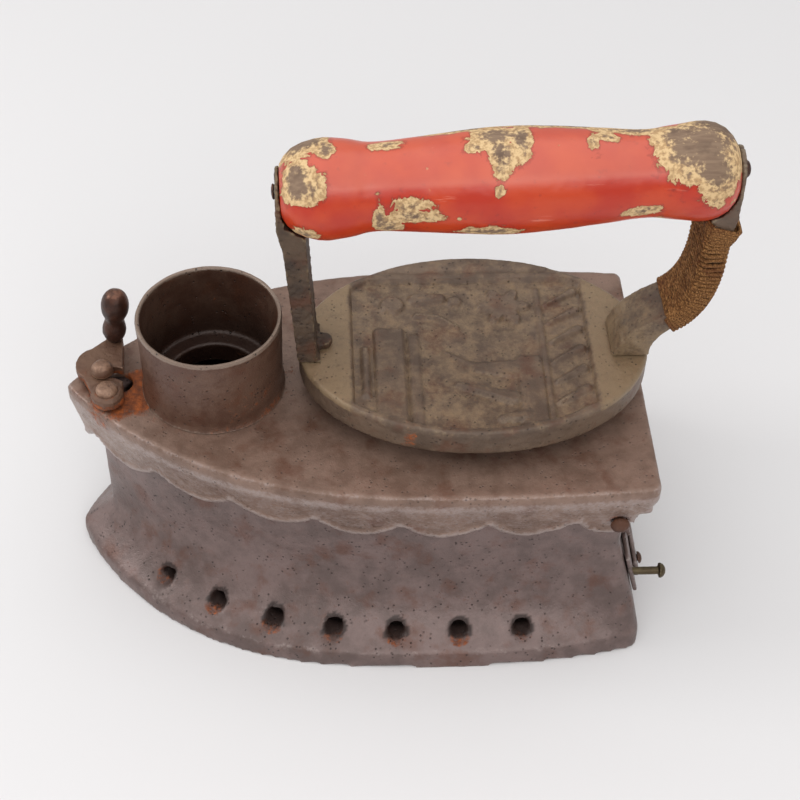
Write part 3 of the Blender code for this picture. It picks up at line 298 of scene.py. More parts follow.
def painted_wood():
    """Vermilion oil paint over a cream ground, chipped to weathered wood."""
    f = Finish("vermilion_paint", 0.0, 0.6)
    bare = f.attribute("bare")
    ragged = f.noise(5.5, 4, 0.62, warp=0.6)
    crisp = f.noise(1.5, 3, 0.6)
    field = bare + (ragged - 0.5) * 1.1 + (crisp - 0.5) * 0.35
    chipped = field.step(0.0, 0.035)
    deep = (field + (crisp - 0.5) * 0.8).step(0.22, 0.6)
    flecks = (f.cells(7.0).step(0.13, 0.08) * f.noise(13, 2).step(0.52, 0.6)).least(1.0)
    chipped = chipped.most(flecks)
    paint = f.mix(srgb(186, 40, 4), srgb(200, 62, 14), f.noise(17, 3).step(0.35, 0.65))
    paint = f.mix(paint, srgb(150, 32, 20), f.noise(3.2, 4).step(0.6, 0.75) * 0.5)
    # Painted sheen: the grip's upper side is mixed towards pale pink, as if it reflected the light above it.
    paint = f.mix(paint, srgb(226, 138, 116), f.attribute("faded") * (0.16 + f.noise(30, 2) * 0.28))
    scuffs = f.noise(2.2, 4, 0.6, stretch=(9, 1, 1)).step(0.66, 0.74) * f.noise(16, 2).step(0.45, 0.6)
    paint = f.mix(paint, srgb(228, 132, 112), scuffs * 0.5)
    paint = f.mix(paint, srgb(120, 30, 20), (field.step(-0.16, -0.02)) * 0.35)
    fibres = f.noise(1.1, 4, 0.6, stretch=(14, 1, 1))
    wood = f.mix(srgb(122, 98, 80), srgb(142, 118, 96), fibres.step(0.3, 0.7))
    wood = f.mix(wood, srgb(88, 68, 56), f.noise(7, 4).step(0.5, 0.7) * 0.6)
    primer = f.mix(srgb(222, 190, 142), srgb(186, 150, 106), crisp.step(0.4, 0.6))
    under = f.mix(primer, wood, deep)
    colour = f.mix(paint, under, chipped)
    height = (1 - chipped) * 0.35 + f.noise(9, 2) * 0.3 + chipped * fibres * 0.07
    rough = 0.27 + chipped * 0.5 + f.noise(6, 3) * 0.12
    return f.dress(colour, rough, height)


def twine_finish():
    """Coarse brown twine, golden where its fibres catch the light."""
    f = Finish("brown_twine", 0.0, 0.25)
    fibres = f.noise(0.5, 3, 0.6, stretch=(1, 3, 1))
    broad = f.noise(9, 3)
    colour = f.ramp(fibres, (0.3, srgb(58, 36, 20)), (0.5, srgb(122, 82, 46)), (0.7, srgb(186, 140, 88)))
    colour = f.mix(colour, srgb(88, 44, 24), broad.step(0.5, 0.7) * 0.5)
    return f.dress(colour, 0.85, fibres * 0.3)


def floor_finish():
    f = Finish("pale_floor", 0.0, 0.2)
    tone = f.noise(400, 2)
    return f.dress(f.mix(srgb(227, 226, 227), srgb(230, 229, 230), tone), 0.75, tone * 0.01)


BOX_IRON = iron_finish(
    "box_iron", srgb(122, 103, 99), srgb(98, 82, 78), srgb(172, 160, 156), rusty=0.0, pitted=0.7
)
LID_IRON = iron_finish(
    "lid_iron", srgb(140, 114, 100), srgb(116, 92, 79), srgb(172, 160, 158), rusty=0.02, pitted=0.5
)
FLUE_IRON = iron_finish(
    "flue_iron", srgb(106, 80, 66), srgb(86, 58, 46), srgb(158, 142, 128), rusty=0.06, pitted=0.8
)
SHIELD_IRON = iron_finish(
    "shield_iron", srgb(114, 95, 79), srgb(90, 73, 60), srgb(152, 138, 112),
    rusty=0.0, pitted=0.6, smooth=0.46, metallic=0.15, dust=srgb(144, 122, 94),
)
POST_IRON = iron_finish(
    "post_iron", srgb(92, 74, 58), srgb(60, 46, 37), srgb(150, 132, 98),
    rusty=0.02, pitted=1.0, smooth=0.6, metallic=0.15,
)
LATCH_IRON = iron_finish(
    "latch_iron", srgb(112, 84, 66), srgb(92, 64, 50), srgb(176, 140, 116), rusty=0.14, pitted=0.3, smooth=0.5
)
KNOB_IRON = iron_finish(
    "knob_iron", srgb(70, 48, 40), srgb(48, 34, 30), srgb(150, 104, 82),
    rusty=0.04, pitted=0.2, smooth=0.42, metallic=0.5,
)
RUSTY_STEEL = iron_finish(
    "rusty_steel", srgb(96, 62, 44), srgb(66, 42, 32), srgb(160, 116, 88), rusty=0.25, pitted=0.4, smooth=0.6
)
DULL_STEEL = iron_finish(
    "dull_steel", srgb(104, 92, 66), srgb(70, 58, 42), srgb(166, 152, 118),
    rusty=0.05, pitted=0.2, smooth=0.4, metallic=0.7,
)
SOOTY_IRON = iron_finish(
    "sooty_iron", srgb(60, 50, 46), srgb(40, 33, 30), srgb(96, 86, 78),
    rusty=0.1, pitted=0.6, smooth=0.75, metallic=0.2,
)
PAINTED_WOOD = painted_wood()
TWINE = twine_finish()


# ---------------------------------------------------------------- shapes


def evaluated(mesh, kind, **settings):
    """The bmesh as one modifier leaves it. The given bmesh is used up."""
    data = bpy.data.meshes.new("stage")
    mesh.to_mesh(data)
    mesh.free()
    holder = bpy.data.objects.new("stage", data)
    bpy.context.scene.collection.objects.link(holder)
    change = holder.modifiers.new("change", kind)
    for key, value in settings.items():
        setattr(change, key, value)
    graph = bpy.context.evaluated_depsgraph_get()
    made = bmesh.new()
    made.from_mesh(holder.evaluated_get(graph).to_mesh())
    bpy.data.objects.remove(holder, do_unlink=True)
    bpy.data.meshes.remove(data)
    return made


def bored(mesh, tools):
    """The bmesh with the tools' shapes cut out of it."""
    data = bpy.data.meshes.new("tool")
    tools.to_mesh(data)
    tools.free()
    tool = bpy.data.objects.new("tool", data)
    bpy.context.scene.collection.objects.link(tool)
    made = evaluated(mesh, "BOOLEAN", object=tool, operation="DIFFERENCE", solver="EXACT")
    bpy.data.objects.remove(tool, do_unlink=True)
    bpy.data.meshes.remove(data)
    return made


def add_ring(mesh, points):
    """A closed loop of edges through the points."""
    corners = [mesh.verts.new(point) for point in points]
    return [mesh.edges.new((corners[index - 1], corner)) for index, corner in enumerate(corners)]


def lofted(rings):
    """A shell through rings of equally many points, closed at both ends."""
    mesh = bmesh.new()
    loops = [add_ring(mesh, points) for points in rings]
    for low, high in zip(loops, loops[1:]):
        bmesh.ops.bridge_loops(mesh, edges=low + high)
    bmesh.ops.holes_fill(mesh, edges=loops[0] + loops[-1], sides=0)
    bmesh.ops.recalc_face_normals(mesh, faces=mesh.faces)
    return mesh


def spaced(profile, spacing):
    """The profile's points with more between them, none further apart than the spacing."""
    points = []
    for start, end in zip(profile, profile[1:]):
        start, end = Vector(start), Vector(end)
        count = max(1, math.ceil((end - start).length / spacing))
        points += [start.lerp(end, step / count) for step in range(count)]
    return points + [Vector(profile[-1])]


def turned(profile, sides, spacing=1.0, joined=False):
    """A solid spun about Z from (radius, height) pairs."""
    mesh = bmesh.new()
    points = spaced(list(profile) + ([profile[0]] if joined else []), spacing)
    corners = [mesh.verts.new((max(radius, 0.0), 0, z)) for radius, z in points]
    edges = [mesh.edges.new(pair) for pair in zip(corners, corners[1:])]
    bmesh.ops.spin(
        mesh, geom=corners + edges, cent=(0, 0, 0), axis=(0, 0, 1),
        angle=FULL_TURN, steps=sides, use_merge=True,
    )
    bmesh.ops.remove_doubles(mesh, verts=mesh.verts, dist=1e-4)
    bmesh.ops.holes_fill(mesh, edges=[edge for edge in mesh.edges if edge.is_boundary], sides=0)
    bmesh.ops.recalc_face_normals(mesh, faces=mesh.faces)
    return mesh


def rod(start, end, radius, sides=48):
    start, end = Vector(start), Vector(end)
    mesh = bmesh.new()
    length = (end - start).length
    bmesh.ops.create_cone(
        mesh, cap_ends=True, segments=sides, radius1=radius, radius2=radius, depth=length,
        matrix=along(start, end) @ Matrix.Translation((0, 0, length / 2)),
    )
    return mesh


def along(start, end):
    """A frame at start whose Z points to end."""
    direction = Vector(end) - Vector(start)
    return Matrix.Translation(start) @ direction.to_track_quat("Z", "Y").to_matrix().to_4x4()


def gathered(*meshes):
    """One bmesh that holds all of the given ones, which are used up."""
    whole = bmesh.new()
    data = bpy.data.meshes.new("gathered")
    for mesh in meshes:
        mesh.to_mesh(data)
        whole.from_mesh(data)
        mesh.free()
    bpy.data.meshes.remove(data)
    return whole


def copied(node):
    """A node's shape, merged into whole surfaces, in millimetres."""
    mesh = bmesh.new()
    mesh.from_mesh(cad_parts[node].data)
    bmesh.ops.scale(mesh, vec=(1 / MM,) * 3, verts=mesh.verts)
    bmesh.ops.remove_doubles(mesh, verts=mesh.verts, dist=1e-3)
    return mesh


def cast(mesh, size, rounds, roughness=0.08, lumps=3.0, seed=0.0):
    """The shape in small even faces, its edges rounded and its skin as uneven as moulding sand leaves it."""
    skin = evaluated(mesh, "REMESH", mode="VOXEL", voxel_size=size)
    for _ in range(rounds):
        bmesh.ops.smooth_vert(
            skin, verts=skin.verts, factor=0.5, use_axis_x=True, use_axis_y=True, use_axis_z=True
        )
    return roughened(skin, roughness, lumps, seed)


def roughened(mesh, roughness, lumps, seed=0.0):
    mesh.normal_update()
    shift = Vector((seed, 2 * seed, 3 * seed))
    for corner in mesh.verts:
        wave = noise.fractal(corner.co / lumps + shift, 0.9, 2.1, 3)
        corner.co += corner.normal * (wave * roughness)
    return mesh


def convexity(data):
    """How far each point stands above its neighbours: near 1 on an outer edge, near -1 in a corner."""
    count = len(data.vertices)
    places = np.empty(count * 3)
    data.vertices.foreach_get("co", places)
    normals = np.empty(count * 3)
    data.vertices.foreach_get("normal", normals)
    edges = np.empty(len(data.edges) * 2, int)
    data.edges.foreach_get("vertices", edges)
    places, normals, edges = places.reshape(-1, 3), normals.reshape(-1, 3), edges.reshape(-1, 2)
    first, second = edges[:, 0], edges[:, 1]
    total = np.zeros(count)
    shared = np.zeros(count)
    for here, there in ((first, second), (second, first)):
        run = places[there] - places[here]
        drop = -(run * normals[here]).sum(1) / np.maximum(np.linalg.norm(run, axis=1), 1e-9)
        np.add.at(total, here, drop)
        np.add.at(shared, here, 1)
    bend = total / np.maximum(shared, 1)
    for _ in range(3):
        spread = bend.copy()
        np.add.at(spread, first, bend[second])
        np.add.at(spread, second, bend[first])
        bend = spread / (shared + 1)
    return np.clip(bend * 5.0, -1, 1)


def finished(name, mesh, body, finish, nodes=(), marks=None):
    """Brings a shape to metres as a piece that rides on a body and stands for the given nodes."""
    bmesh.ops.scale(mesh, vec=(MM,) * 3, verts=mesh.verts)
    data = bpy.data.meshes.new(name)
    mesh.to_mesh(data)
    mesh.free()
    data.shade_smooth()
    data.set_sharp_from_angle(angle=math.radians(50))
    data.materials.append(finish)
    layer = data.attributes.new("edge", "FLOAT", "POINT")
    layer.data.foreach_set("value", convexity(data).astype(np.float32))
    for label, rule in (marks or {}).items():
        layer = data.attributes.new(label, "FLOAT", "POINT")
        layer.data.foreach_set("value", [rule(vertex.co / MM) for vertex in data.vertices])
    piece = bpy.data.objects.new(name, data)
    bpy.context.scene.collection.objects.link(piece)
    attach(piece, body)
    if nodes:
        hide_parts(*nodes)
    return piece


def fade(value, inner, outer):
    """1 up to inner, 0 beyond outer, smooth between."""
    share = min(1.0, max(0.0, (outer - value) / (outer - inner)))
    return share * share * (3 - 2 * share)


# ---------------------------------------------------------------- plan outlines


class Plan:
    """An outline seen from above: a pointed nose at -X, nearly parallel sides, a square heel at +X."""

    def __init__(self, nose, rear, widest, half_width, fullness, taper, corner, power=2.0):
        self.nose, self.rear, self.widest = nose, rear, widest
        self.half_width, self.fullness, self.taper, self.corner = half_width, fullness, taper, corner
        self.power = power

    def grown(self, side, nose=None, rear=None):
        return Plan(
            self.nose - (side if nose is None else nose), self.rear + (side if rear is None else rear),
            self.widest, self.half_width + side, self.fullness, self.taper, self.corner, self.power,
        )

    def width_at(self, x):
        if x < self.widest:
            reach = min(1.0, (self.widest - x) / (self.widest - self.nose))
            return self.half_width * (1 - reach**self.power) ** self.fullness
        return self.half_width - self.taper * ((x - self.widest) / (self.rear - self.widest)) ** 2

    def side(self, count):
        """Evenly spaced points down one side, from the nose to where the heel's corner starts."""
        reach = self.rear - self.corner - self.nose
        xs = self.nose + reach * np.linspace(0, 1, 800) ** 2
        ys = np.array([self.width_at(x) for x in xs])
        run = np.concatenate([[0], np.cumsum(np.hypot(np.diff(xs), np.diff(ys)))])
        wanted = np.linspace(0, run[-1], count + 1)
        self.length = run[-1]
        return [Vector((x, y)) for x, y in zip(np.interp(wanted, run, xs), np.interp(wanted, run, ys))]

    def outline(self, side_count, rear_count):
        half = self.side(side_count)
        centre = Vector((self.rear - self.corner, half[-1].y - self.corner))
        for step in range(1, CORNER_POINTS + 1):
            angle = math.pi / 2 * (1 - step / CORNER_POINTS)
            half.append(centre + self.corner * Vector((math.cos(angle), math.sin(angle))))
        for step in range(1, rear_count + 1):
            half.append(Vector((self.rear, centre.y * (1 - step / rear_count))))
        return [Vector((p.x, -p.y)) for p in half] + half[-2:0:-1]


CORNER_POINTS = 6
SIDE_POINTS = 170
REAR_POINTS = 40

sole_low, sole_high = box_mm("fire_box")
BOX_TOP = sole_high.z
SOLE_BAND = 6.0
BOX_FLOOR = 6.3
HEEL_OVERHANG = 9.5
BOX_PLAN = Plan(
    nose=sole_low.x + 12.4, rear=sole_high.x - HEEL_OVERHANG, widest=30.0,
    half_width=sole_high.y - 20.2, fullness=0.79, taper=0.7, corner=3.0,
)
SOLE_PLAN = Plan(
    nose=sole_low.x, rear=sole_high.x, widest=40.0,
    half_width=sole_high.y, fullness=0.8, taper=6.8, corner=6.0, power=3.17,
)
BAND_PLAN = SOLE_PLAN.grown(-1.6, nose=-0.5, rear=0.0)
CAVITY_PLAN = BOX_PLAN.grown(-3.5, nose=-9.0)

lid_low, lid_high = box_mm("lid")
LID_TOP = lid_high.z
LID_PLAN = Plan(
    nose=lid_low.x, rear=lid_high.x, widest=45.0,
    half_width=lid_high.y, fullness=0.92, taper=2.4, corner=2.5, power=2.81,
)
LID_UNDER_PLAN = LID_PLAN.grown(-3.0, nose=-4.5)
HEM_INNER_PLAN = BOX_PLAN.grown(0.9, nose=3.5)
HEM_OUTER_PLAN = HEM_INNER_PLAN.grown(1.3)


def at_height(outline, z):
    return [Vector((p.x, p.y, z)) for p in outline]


# ---------------------------------------------------------------- fire box

FLARE_TOP_NOSE = 17.0
FLARE_TOP_SIDE = 45.0
FLARE_TOP_REAR = 42.0
FLARE_HOLLOW = 0.62
VENT_RADIUS = 3.2
VENT_HEIGHT = 10.3
VENT_SQUASH = 0.78
VENT_PITCH = 23.05
VENTS_PER_SIDE = 7
VENT_LINE_INSET = 6.2
VENT_LINE_NOSE_INSET = 12.0
VENT_LINE_STEPS = 1200
FIRST_VENT_BACK = 21.5
VENT_BORE_IN = 16
VENT_BORE_OUT = 12
DRAUGHT_HOLE_RADIUS = 3.8
DRAUGHT_HOLES_Y = (-24, -4, 16)
SLIDE_HEIGHT = 24.0
HINGE_RIB_RADIUS = 4.3
HINGE_RIB_AHEAD = 4.7
STUD_BOSS_RADIUS = 4.2
STUD_BOSS_AHEAD = 2.0
HEEL_SLOPE = math.atan2(HEEL_OVERHANG, FLARE_TOP_REAR - SOLE_BAND)


def flare_shares(z):
    """How far out the flare is at this height, for each outline point: 1 at the band, 0 on the wall."""
    half = []
    for step in range(SIDE_POINTS + 1):
        share = step / SIDE_POINTS
        fullness = min(1.0, share / 0.3)
        power = 1.0 + 2.6 * fullness
        power += (1.5 - power) * max(0.0, share - 23 / 24) * 24
        half.append((FLARE_TOP_NOSE + (FLARE_TOP_SIDE - FLARE_TOP_NOSE) * fullness, power))
    for step in range(1, CORNER_POINTS + 1):
        half.append((FLARE_TOP_REAR, 1.5 - 0.5 * step / CORNER_POINTS))
    half += [(FLARE_TOP_REAR, 1.0)] * REAR_POINTS
    both = half + half[-2:0:-1]
    return [max(0.0, min(1.0, (top - z) / (top - SOLE_BAND))) ** power for top, power in both]


def flared(base, z, share_of_flare):
    counts = (SIDE_POINTS, REAR_POINTS)
    band = BAND_PLAN.outline(*counts)
    wall = BOX_PLAN.outline(*counts)
    moved = [
        p + (b - w) * s * share_of_flare
        for p, b, w, s in zip(base.outline(*counts), band, wall, flare_shares(z))
    ]
    return at_height(moved, z)


def vent_places():
    """The middle of each vent on both sides, and the direction that it faces."""
    line = SOLE_PLAN.grown(-VENT_LINE_INSET, nose=-VENT_LINE_NOSE_INSET)
    points = line.side(VENT_LINE_STEPS)
    gap = line.length / VENT_LINE_STEPS
    first = next(index for index, p in enumerate(points) if p.x >= BOX_PLAN.nose + FIRST_VENT_BACK) * gap
    places = []
    for number in range(VENTS_PER_SIDE):
        index = round((first + number * VENT_PITCH) / gap)
        run = (points[index + 4] - points[index]).normalized()
        for side in (-1, 1):
            middle = Vector((points[index].x, side * points[index].y, VENT_HEIGHT))
            places.append((middle, Vector((-run.y, side * run.x, 0))))
    return places


def heel_x(z):
    return BOX_PLAN.rear + math.tan(HEEL_SLOPE) * (FLARE_TOP_REAR - z)


def on_heel(across, up, out):
    """A place on the sloping heel: across to +Y, up the slope from the slide's middle, and out of it."""
    slope = Vector((-math.sin(HEEL_SLOPE), 0, math.cos(HEEL_SLOPE)))
    away = Vector((math.cos(HEEL_SLOPE), 0, math.sin(HEEL_SLOPE)))
    return Vector((heel_x(SLIDE_HEIGHT), across, SLIDE_HEIGHT)) + slope * up + away * out


def flattened(mesh, place):
    """A vent's bore, low enough that its mouth on the slope is round."""
    bmesh.ops.scale(mesh, vec=(1, 1, VENT_SQUASH), space=Matrix.Translation(-place), verts=mesh.verts)
    return mesh


def fire_box_shape():
    heights = [SOLE_BAND] + [SOLE_BAND + 39 * (step / 22) ** 1.3 for step in range(1, 23)] + [BOX_TOP]
    inside = [BOX_TOP] + [45 - 5 * step for step in range(7)] + [BOX_FLOOR]
    rings = [at_height(SOLE_PLAN.outline(SIDE_POINTS, REAR_POINTS), 0.0)]
    rings += [flared(BOX_PLAN, z, 1.0) for z in heights]
    rings += [flared(CAVITY_PLAN, z, FLARE_HOLLOW) for z in inside]
    shell = lofted(rings)
    bores = []
    for place, out in vent_places():
        bore = rod(place - VENT_BORE_IN * out, place + VENT_BORE_OUT * out, VENT_RADIUS, 32)
        bores.append(flattened(bore, place))
    for y in DRAUGHT_HOLES_Y:
        bores.append(rod(on_heel(y, 0, -15), on_heel(y, 0, 8), DRAUGHT_HOLE_RADIUS, 32))
    pin = middle_mm("hinge_pin")
    shell = bored(shell, gathered(*bores))
    reach = BOX_PLAN.width_at(pin.x) - 0.5
    rib_x = BOX_PLAN.rear - HINGE_RIB_AHEAD
    rib = rod((rib_x, -reach, pin.z), (rib_x, reach, pin.z), HINGE_RIB_RADIUS)
    boss_x = CAVITY_PLAN.nose - STUD_BOSS_AHEAD
    boss = rod((boss_x, 0, BOX_FLOOR - 1), (boss_x, 0, BOX_TOP - 0.4), STUD_BOSS_RADIUS)
    return gathered(shell, rib, boss)


def make_fire_box():
    vents = vent_places()

    def rust(p):
        nearest = min((p - place).length for place, _ in vents)
        round_vent = fade(nearest, 3.4, 5.2) * 0.6
        within = abs(p.y) < CAVITY_PLAN.width_at(p.x) + 0.6
        inside = 0.2 if p.z > BOX_FLOOR - 0.5 and within and p.x < 90 else 0.0
        return round_vent + inside + fade(abs(p.z - 1), 1, 4) * 0.12

    # Painted sheen, partly scuffing: a paler band along the flare at the vents' height, as if the lit ledge
    # shone, kept off the vents.
    def wear(p):
        beside = min((p - place).xy.length for place, _ in vents)
        low = fade(abs(p.z - 10), 2, 9) * (1 - fade(beside, 3.5, 8))
        return 0.5 * low * (0.4 + 0.6 * fade(beside, 7, 15))

    def soot(p):
        for place, out in vents:
            away = p - place
            depth = away.dot(out)
            if -14 < depth < -0.8 and (away - out * depth).length < VENT_RADIUS + 1.2:
                return 1.0
        return float(p.z > BOX_FLOOR - 0.5 and abs(p.y) < CAVITY_PLAN.width_at(p.x) + 0.4 and p.x < 89)

    skin = cast(fire_box_shape(), 1.2, 3, 0.1, 5.0)
    marks = {"rust": rust, "wear": wear, "soot": soot}
    finished("fire_box_casting", skin, "root", BOX_IRON, ["fire_box"], marks)


# ---------------------------------------------------------------- lid and chimney

LID_EDGE = 6.8
APRON_LOW = LID_TOP - 26.3
APRON_HIGH = LID_TOP - 16.8
APRON_REAR_LOW = LID_TOP - 14.1
SCALLOP_PITCH = 29.2
SCALLOP_FIRST = 9.2
HEM_BEAD = 0.9
FLUE_HOLE_RADIUS = 18.3
STUD_SLOT_RADIUS = 4.8
STUD_SLOT_SHIFTS = (-0.9, 5.2)
PIN_HOLE_RADIUS = 2.6
PIN_HOLE_REACH = 80


def hem_heights():
    """The height of the apron's scalloped lower edge at each outline point."""
    HEM_OUTER_PLAN.side(10)
    half = []
    for step in range(SIDE_POINTS + 1):
        distance = HEM_OUTER_PLAN.length * step / SIDE_POINTS
        swing = abs(math.sin(math.pi * (distance - SCALLOP_FIRST) / SCALLOP_PITCH)) ** 0.75
        half.append(APRON_HIGH - (APRON_HIGH - APRON_LOW) * swing)
    half += [APRON_REAR_LOW] * (CORNER_POINTS + REAR_POINTS)
    return half + half[-2:0:-1]


def sloped(top, bottom, top_z, heights, rise=0.0):
    """Points on the slope between two outlines, each at its own height."""
    points = []
    for high, low, z in zip(top, bottom, heights):
        share = (top_z - z - rise) / (top_z - APRON_LOW)
        flat = high.lerp(low, share)
        points.append(Vector((flat.x, flat.y, z + rise)))
    return points


def lid_shape():
    counts = (SIDE_POINTS, REAR_POINTS)
    outer = LID_PLAN.outline(*counts)
    under = LID_UNDER_PLAN.outline(*counts)
    hem_outer = HEM_OUTER_PLAN.outline(*counts)
    hem_bead = HEM_OUTER_PLAN.grown(HEM_BEAD).outline(*counts)
    outer_bead = LID_PLAN.grown(HEM_BEAD).outline(*counts)
    edge_z = LID_TOP - LID_EDGE
    under_z = LID_TOP - 3.0
    heights = hem_heights()
    rings = [
        at_height(under, under_z),
        sloped(under, HEM_INNER_PLAN.outline(*counts), under_z, heights),
        sloped(outer_bead, hem_bead, edge_z, heights),
        sloped(outer_bead, hem_bead, edge_z, heights, 1.6),
        sloped(outer, hem_outer, edge_z, heights, 2.6),
        at_height(outer, edge_z),
        at_height(outer, LID_TOP - 0.6),
        at_height(LID_PLAN.grown(-0.6).outline(*counts), LID_TOP),
    ]
    shell = lofted(rings)
    flue = middle_mm("chimney")
    stud = middle_mm("catch_stud")
    pin = middle_mm("hinge_pin")
    low, high = under_z - 5, LID_TOP + 5
    shell = bored(shell, rod((flue.x, 0, low), (flue.x, 0, high), FLUE_HOLE_RADIUS, 96))
    for shift in STUD_SLOT_SHIFTS:
        x = stud.x + shift
        shell = bored(shell, rod((x, stud.y, low), (x, stud.y, high), STUD_SLOT_RADIUS))
    reach = PIN_HOLE_REACH
    return bored(shell, rod((pin.x, -reach, pin.z), (pin.x, reach, pin.z), PIN_HOLE_RADIUS, 32))


def make_lid():
    pivot = middle_mm("latch_pivot_rivet")
    flue = middle_mm("chimney")
    pin = middle_mm("hinge_pin")
    hem = HEM_OUTER_PLAN

    def rust(p):
        latch = fade((p - Vector((pivot.x + 3, pivot.y + 2, LID_TOP))).length, 7, 17) * 0.75
        beside = fade((p - Vector((pivot.x + 11, -2, LID_TOP))).length, 5, 13) * 0.55
        foot = fade(abs(math.hypot(p.x - flue.x, p.y) - 26), 1.5, 5) * fade(LID_TOP - p.z, 1, 3) * 0.32
        hinge = fade(math.hypot(p.x - pin.x, p.z - pin.z), 3, 8) * 0.5
        inside = 0.2 if p.z < LID_TOP - 2.5 and abs(p.y) < hem.width_at(p.x) - 2 else 0.0
        return latch + beside + foot + hinge + inside

    # Painted sheen, partly scuffing: the apron and the lid's edge below its top are paler, as if the sloping
    # face caught the light.
    def wear(p):
        low = fade(abs(p.z - LID_TOP + 16), 11, 14) * 0.8
        return low + fade(abs(p.z - LID_TOP + 3), 2, 5) * 0.16

    skin = cast(lid_shape(), 0.86, 3, 0.08, 4.0, 3.1)
    finished("lid_casting", skin, "lid", LID_IRON, ["lid"], {"rust": rust, "wear": wear})


def make_chimney():
    low, high = box_mm("chimney")
    centre = (low + high) / 2
    rim = (high.x - low.x) / 2
    foot = rim - 0.7
    foot_z = LID_TOP + 0.3
    wall = 1.7
    profile = [
        (foot + 0.9, foot_z),
        (foot + 0.25, foot_z + 1.2),
        (foot, foot_z + 2.6),
        (rim - 0.15, high.z - 2.2),
        (rim, high.z - 1.0),
        (rim - 0.35, high.z - 0.1),
        (rim - 0.9, high.z),
        (rim - 1.5, high.z - 0.4),
        (rim - wall, high.z - 1.4),
        (foot - wall, foot_z + 3.4),
        (foot - wall - 0.9, foot_z + 2.5),
        (16.8, foot_z + 2.4),
        (16.2, foot_z + 1.8),
        (16.2, low.z),
        (18.0, low.z),
        (18.0, foot_z),
    ]
    mesh = turned(profile, 150, 1.0, joined=True)
    bmesh.ops.translate(mesh, vec=(centre.x, 0, 0), verts=mesh.verts)

    def rust(p):
        inside = math.hypot(p.x - centre.x, p.y) < rim - 1.4 and p.z < high.z - 1.5
        side = fade(math.hypot(p.x - centre.x - 14, p.y + 20) / 22, 0.3, 1.2) * fade(p.z - foot_z, 10, 34)
        return (0.12 if inside else 0.0) + side * 0.3 + fade(p.z - foot_z, 0.5, 3) * 0.18

    def wear(p):
        return fade(high.z - p.z, 0.3, 2.2) * 0.6

    def soot(p):
        inside = 1 - fade(rim - 0.9 - math.hypot(p.x - centre.x, p.y), 0, 0.9)
        return inside * (0.3 + 0.55 * fade(p.z - foot_z, 2, 26))

    finished(
        "chimney_pipe", roughened(mesh, 0.12, 6.0, 5.0), "lid", FLUE_IRON, ["chimney"],
        {"rust": rust, "wear": wear, "soot": soot},
    )


# ---------------------------------------------------------------- heat shield

shield_low, shield_high = box_mm("heat_shield")
SHIELD_TOP = shield_high.z
SHIELD_MIDDLE = (shield_low + shield_high) / 2
SHIELD_REACH = (shield_high - shield_low) / 2
RECESS = 1.9
RECESS_FRONT = -1.5
RECESS_REAR = 82.0
RECESS_FAR = 32.0


def disc(p, centre, radius):
    """Signed distance to a disc, negative inside; the shapes below give the same for theirs."""
    return (p - Vector(centre)).length - radius


def stroke(p, start, end, thick, thin=None):
    """A straight stroke with round ends that may taper."""
    start, end = Vector(start), Vector(end)
    run = end - start
    share = max(0.0, min(1.0, (p - start).dot(run) / run.length_squared))
    return (p - start - run * share).length - (thick + ((thick if thin is None else thin) - thick) * share)


def slab(p, low, high, corner=0.8):
    middle = (Vector(low) + Vector(high)) / 2
    half = (Vector(high) - Vector(low)) / 2
    x, y = abs(p.x - middle.x) - half.x + corner, abs(p.y - middle.y) - half.y + corner
    return math.hypot(max(x, 0.0), max(y, 0.0)) + min(max(x, y), 0.0) - corner


def rosette(p, centre, radius, petals):
    away = p - Vector(centre)
    return away.length - radius * (0.78 + 0.22 * math.cos(petals * math.atan2(away.y, away.x)))


def raised(distance, height, soft=0.65):
    return 1.6 * height * fade(distance, -soft, soft)


def ornament(p):
    """The height of the cast decoration above the recess's floor: a disc, leaves, a rosette and bars."""
    parts = [
        raised(disc(p, (13.5, 19.8), 4.2), 1.1),
        raised(stroke(p, (22.5, 22.8), (30.5, 23.2), 3.0, 2.2), 0.9),
        raised(disc(p, (36.0, 21.6), 2.5), 0.8),
        raised(min(stroke(p, (22, 14.4), (29, 13.6), 1.1), stroke(p, (29, 13.6), (36, 8.2), 1.1, 0.7)), 1.0),
        raised(rosette(p, (53.5, 18.6), 9.6, 6), 1.0),
        raised(disc(p, (53.5, 18.6), 2.2), 0.3),
        raised(stroke(p, (34.5, -19.8), (53.5, -26.4), 0.9, 2.6), 1.15),
        raised(stroke(p, (41.5, -11.5), (55.0, -12.6), 2.0, 4.2), 0.7),
        raised(stroke(p, (30.5, -4.0), (39.5, -10.5), 0.8, 1.6), 0.6),
        raised(slab(p, (55.5, -41), (64.5, -6.5), 1.6), 0.75),
        raised(stroke(p, (48.5, -35.8), (57, -34.6), 1.3, 2.2), 1.0),
        raised(slab(p, (6.4, -40), (16.8, 8.0), 1.2), 0.95),
        raised(slab(p, (18.4, -42), (22.2, 5.0), 0.6), 0.55),
        raised(slab(p, (1.8, -25), (4.4, -1), 0.8), 0.9),
        raised(slab(p, (64.8, -42), (67.0, 28), 0.6), 0.55),
    ]
    for number in range(7):
        y = 24.0 - 9.6 * number
        parts.append(raised(stroke(p, (68.6, y - 5.0), (79.0, y + 1.6), 0.7, 1.7), 0.95))
    return max(parts)


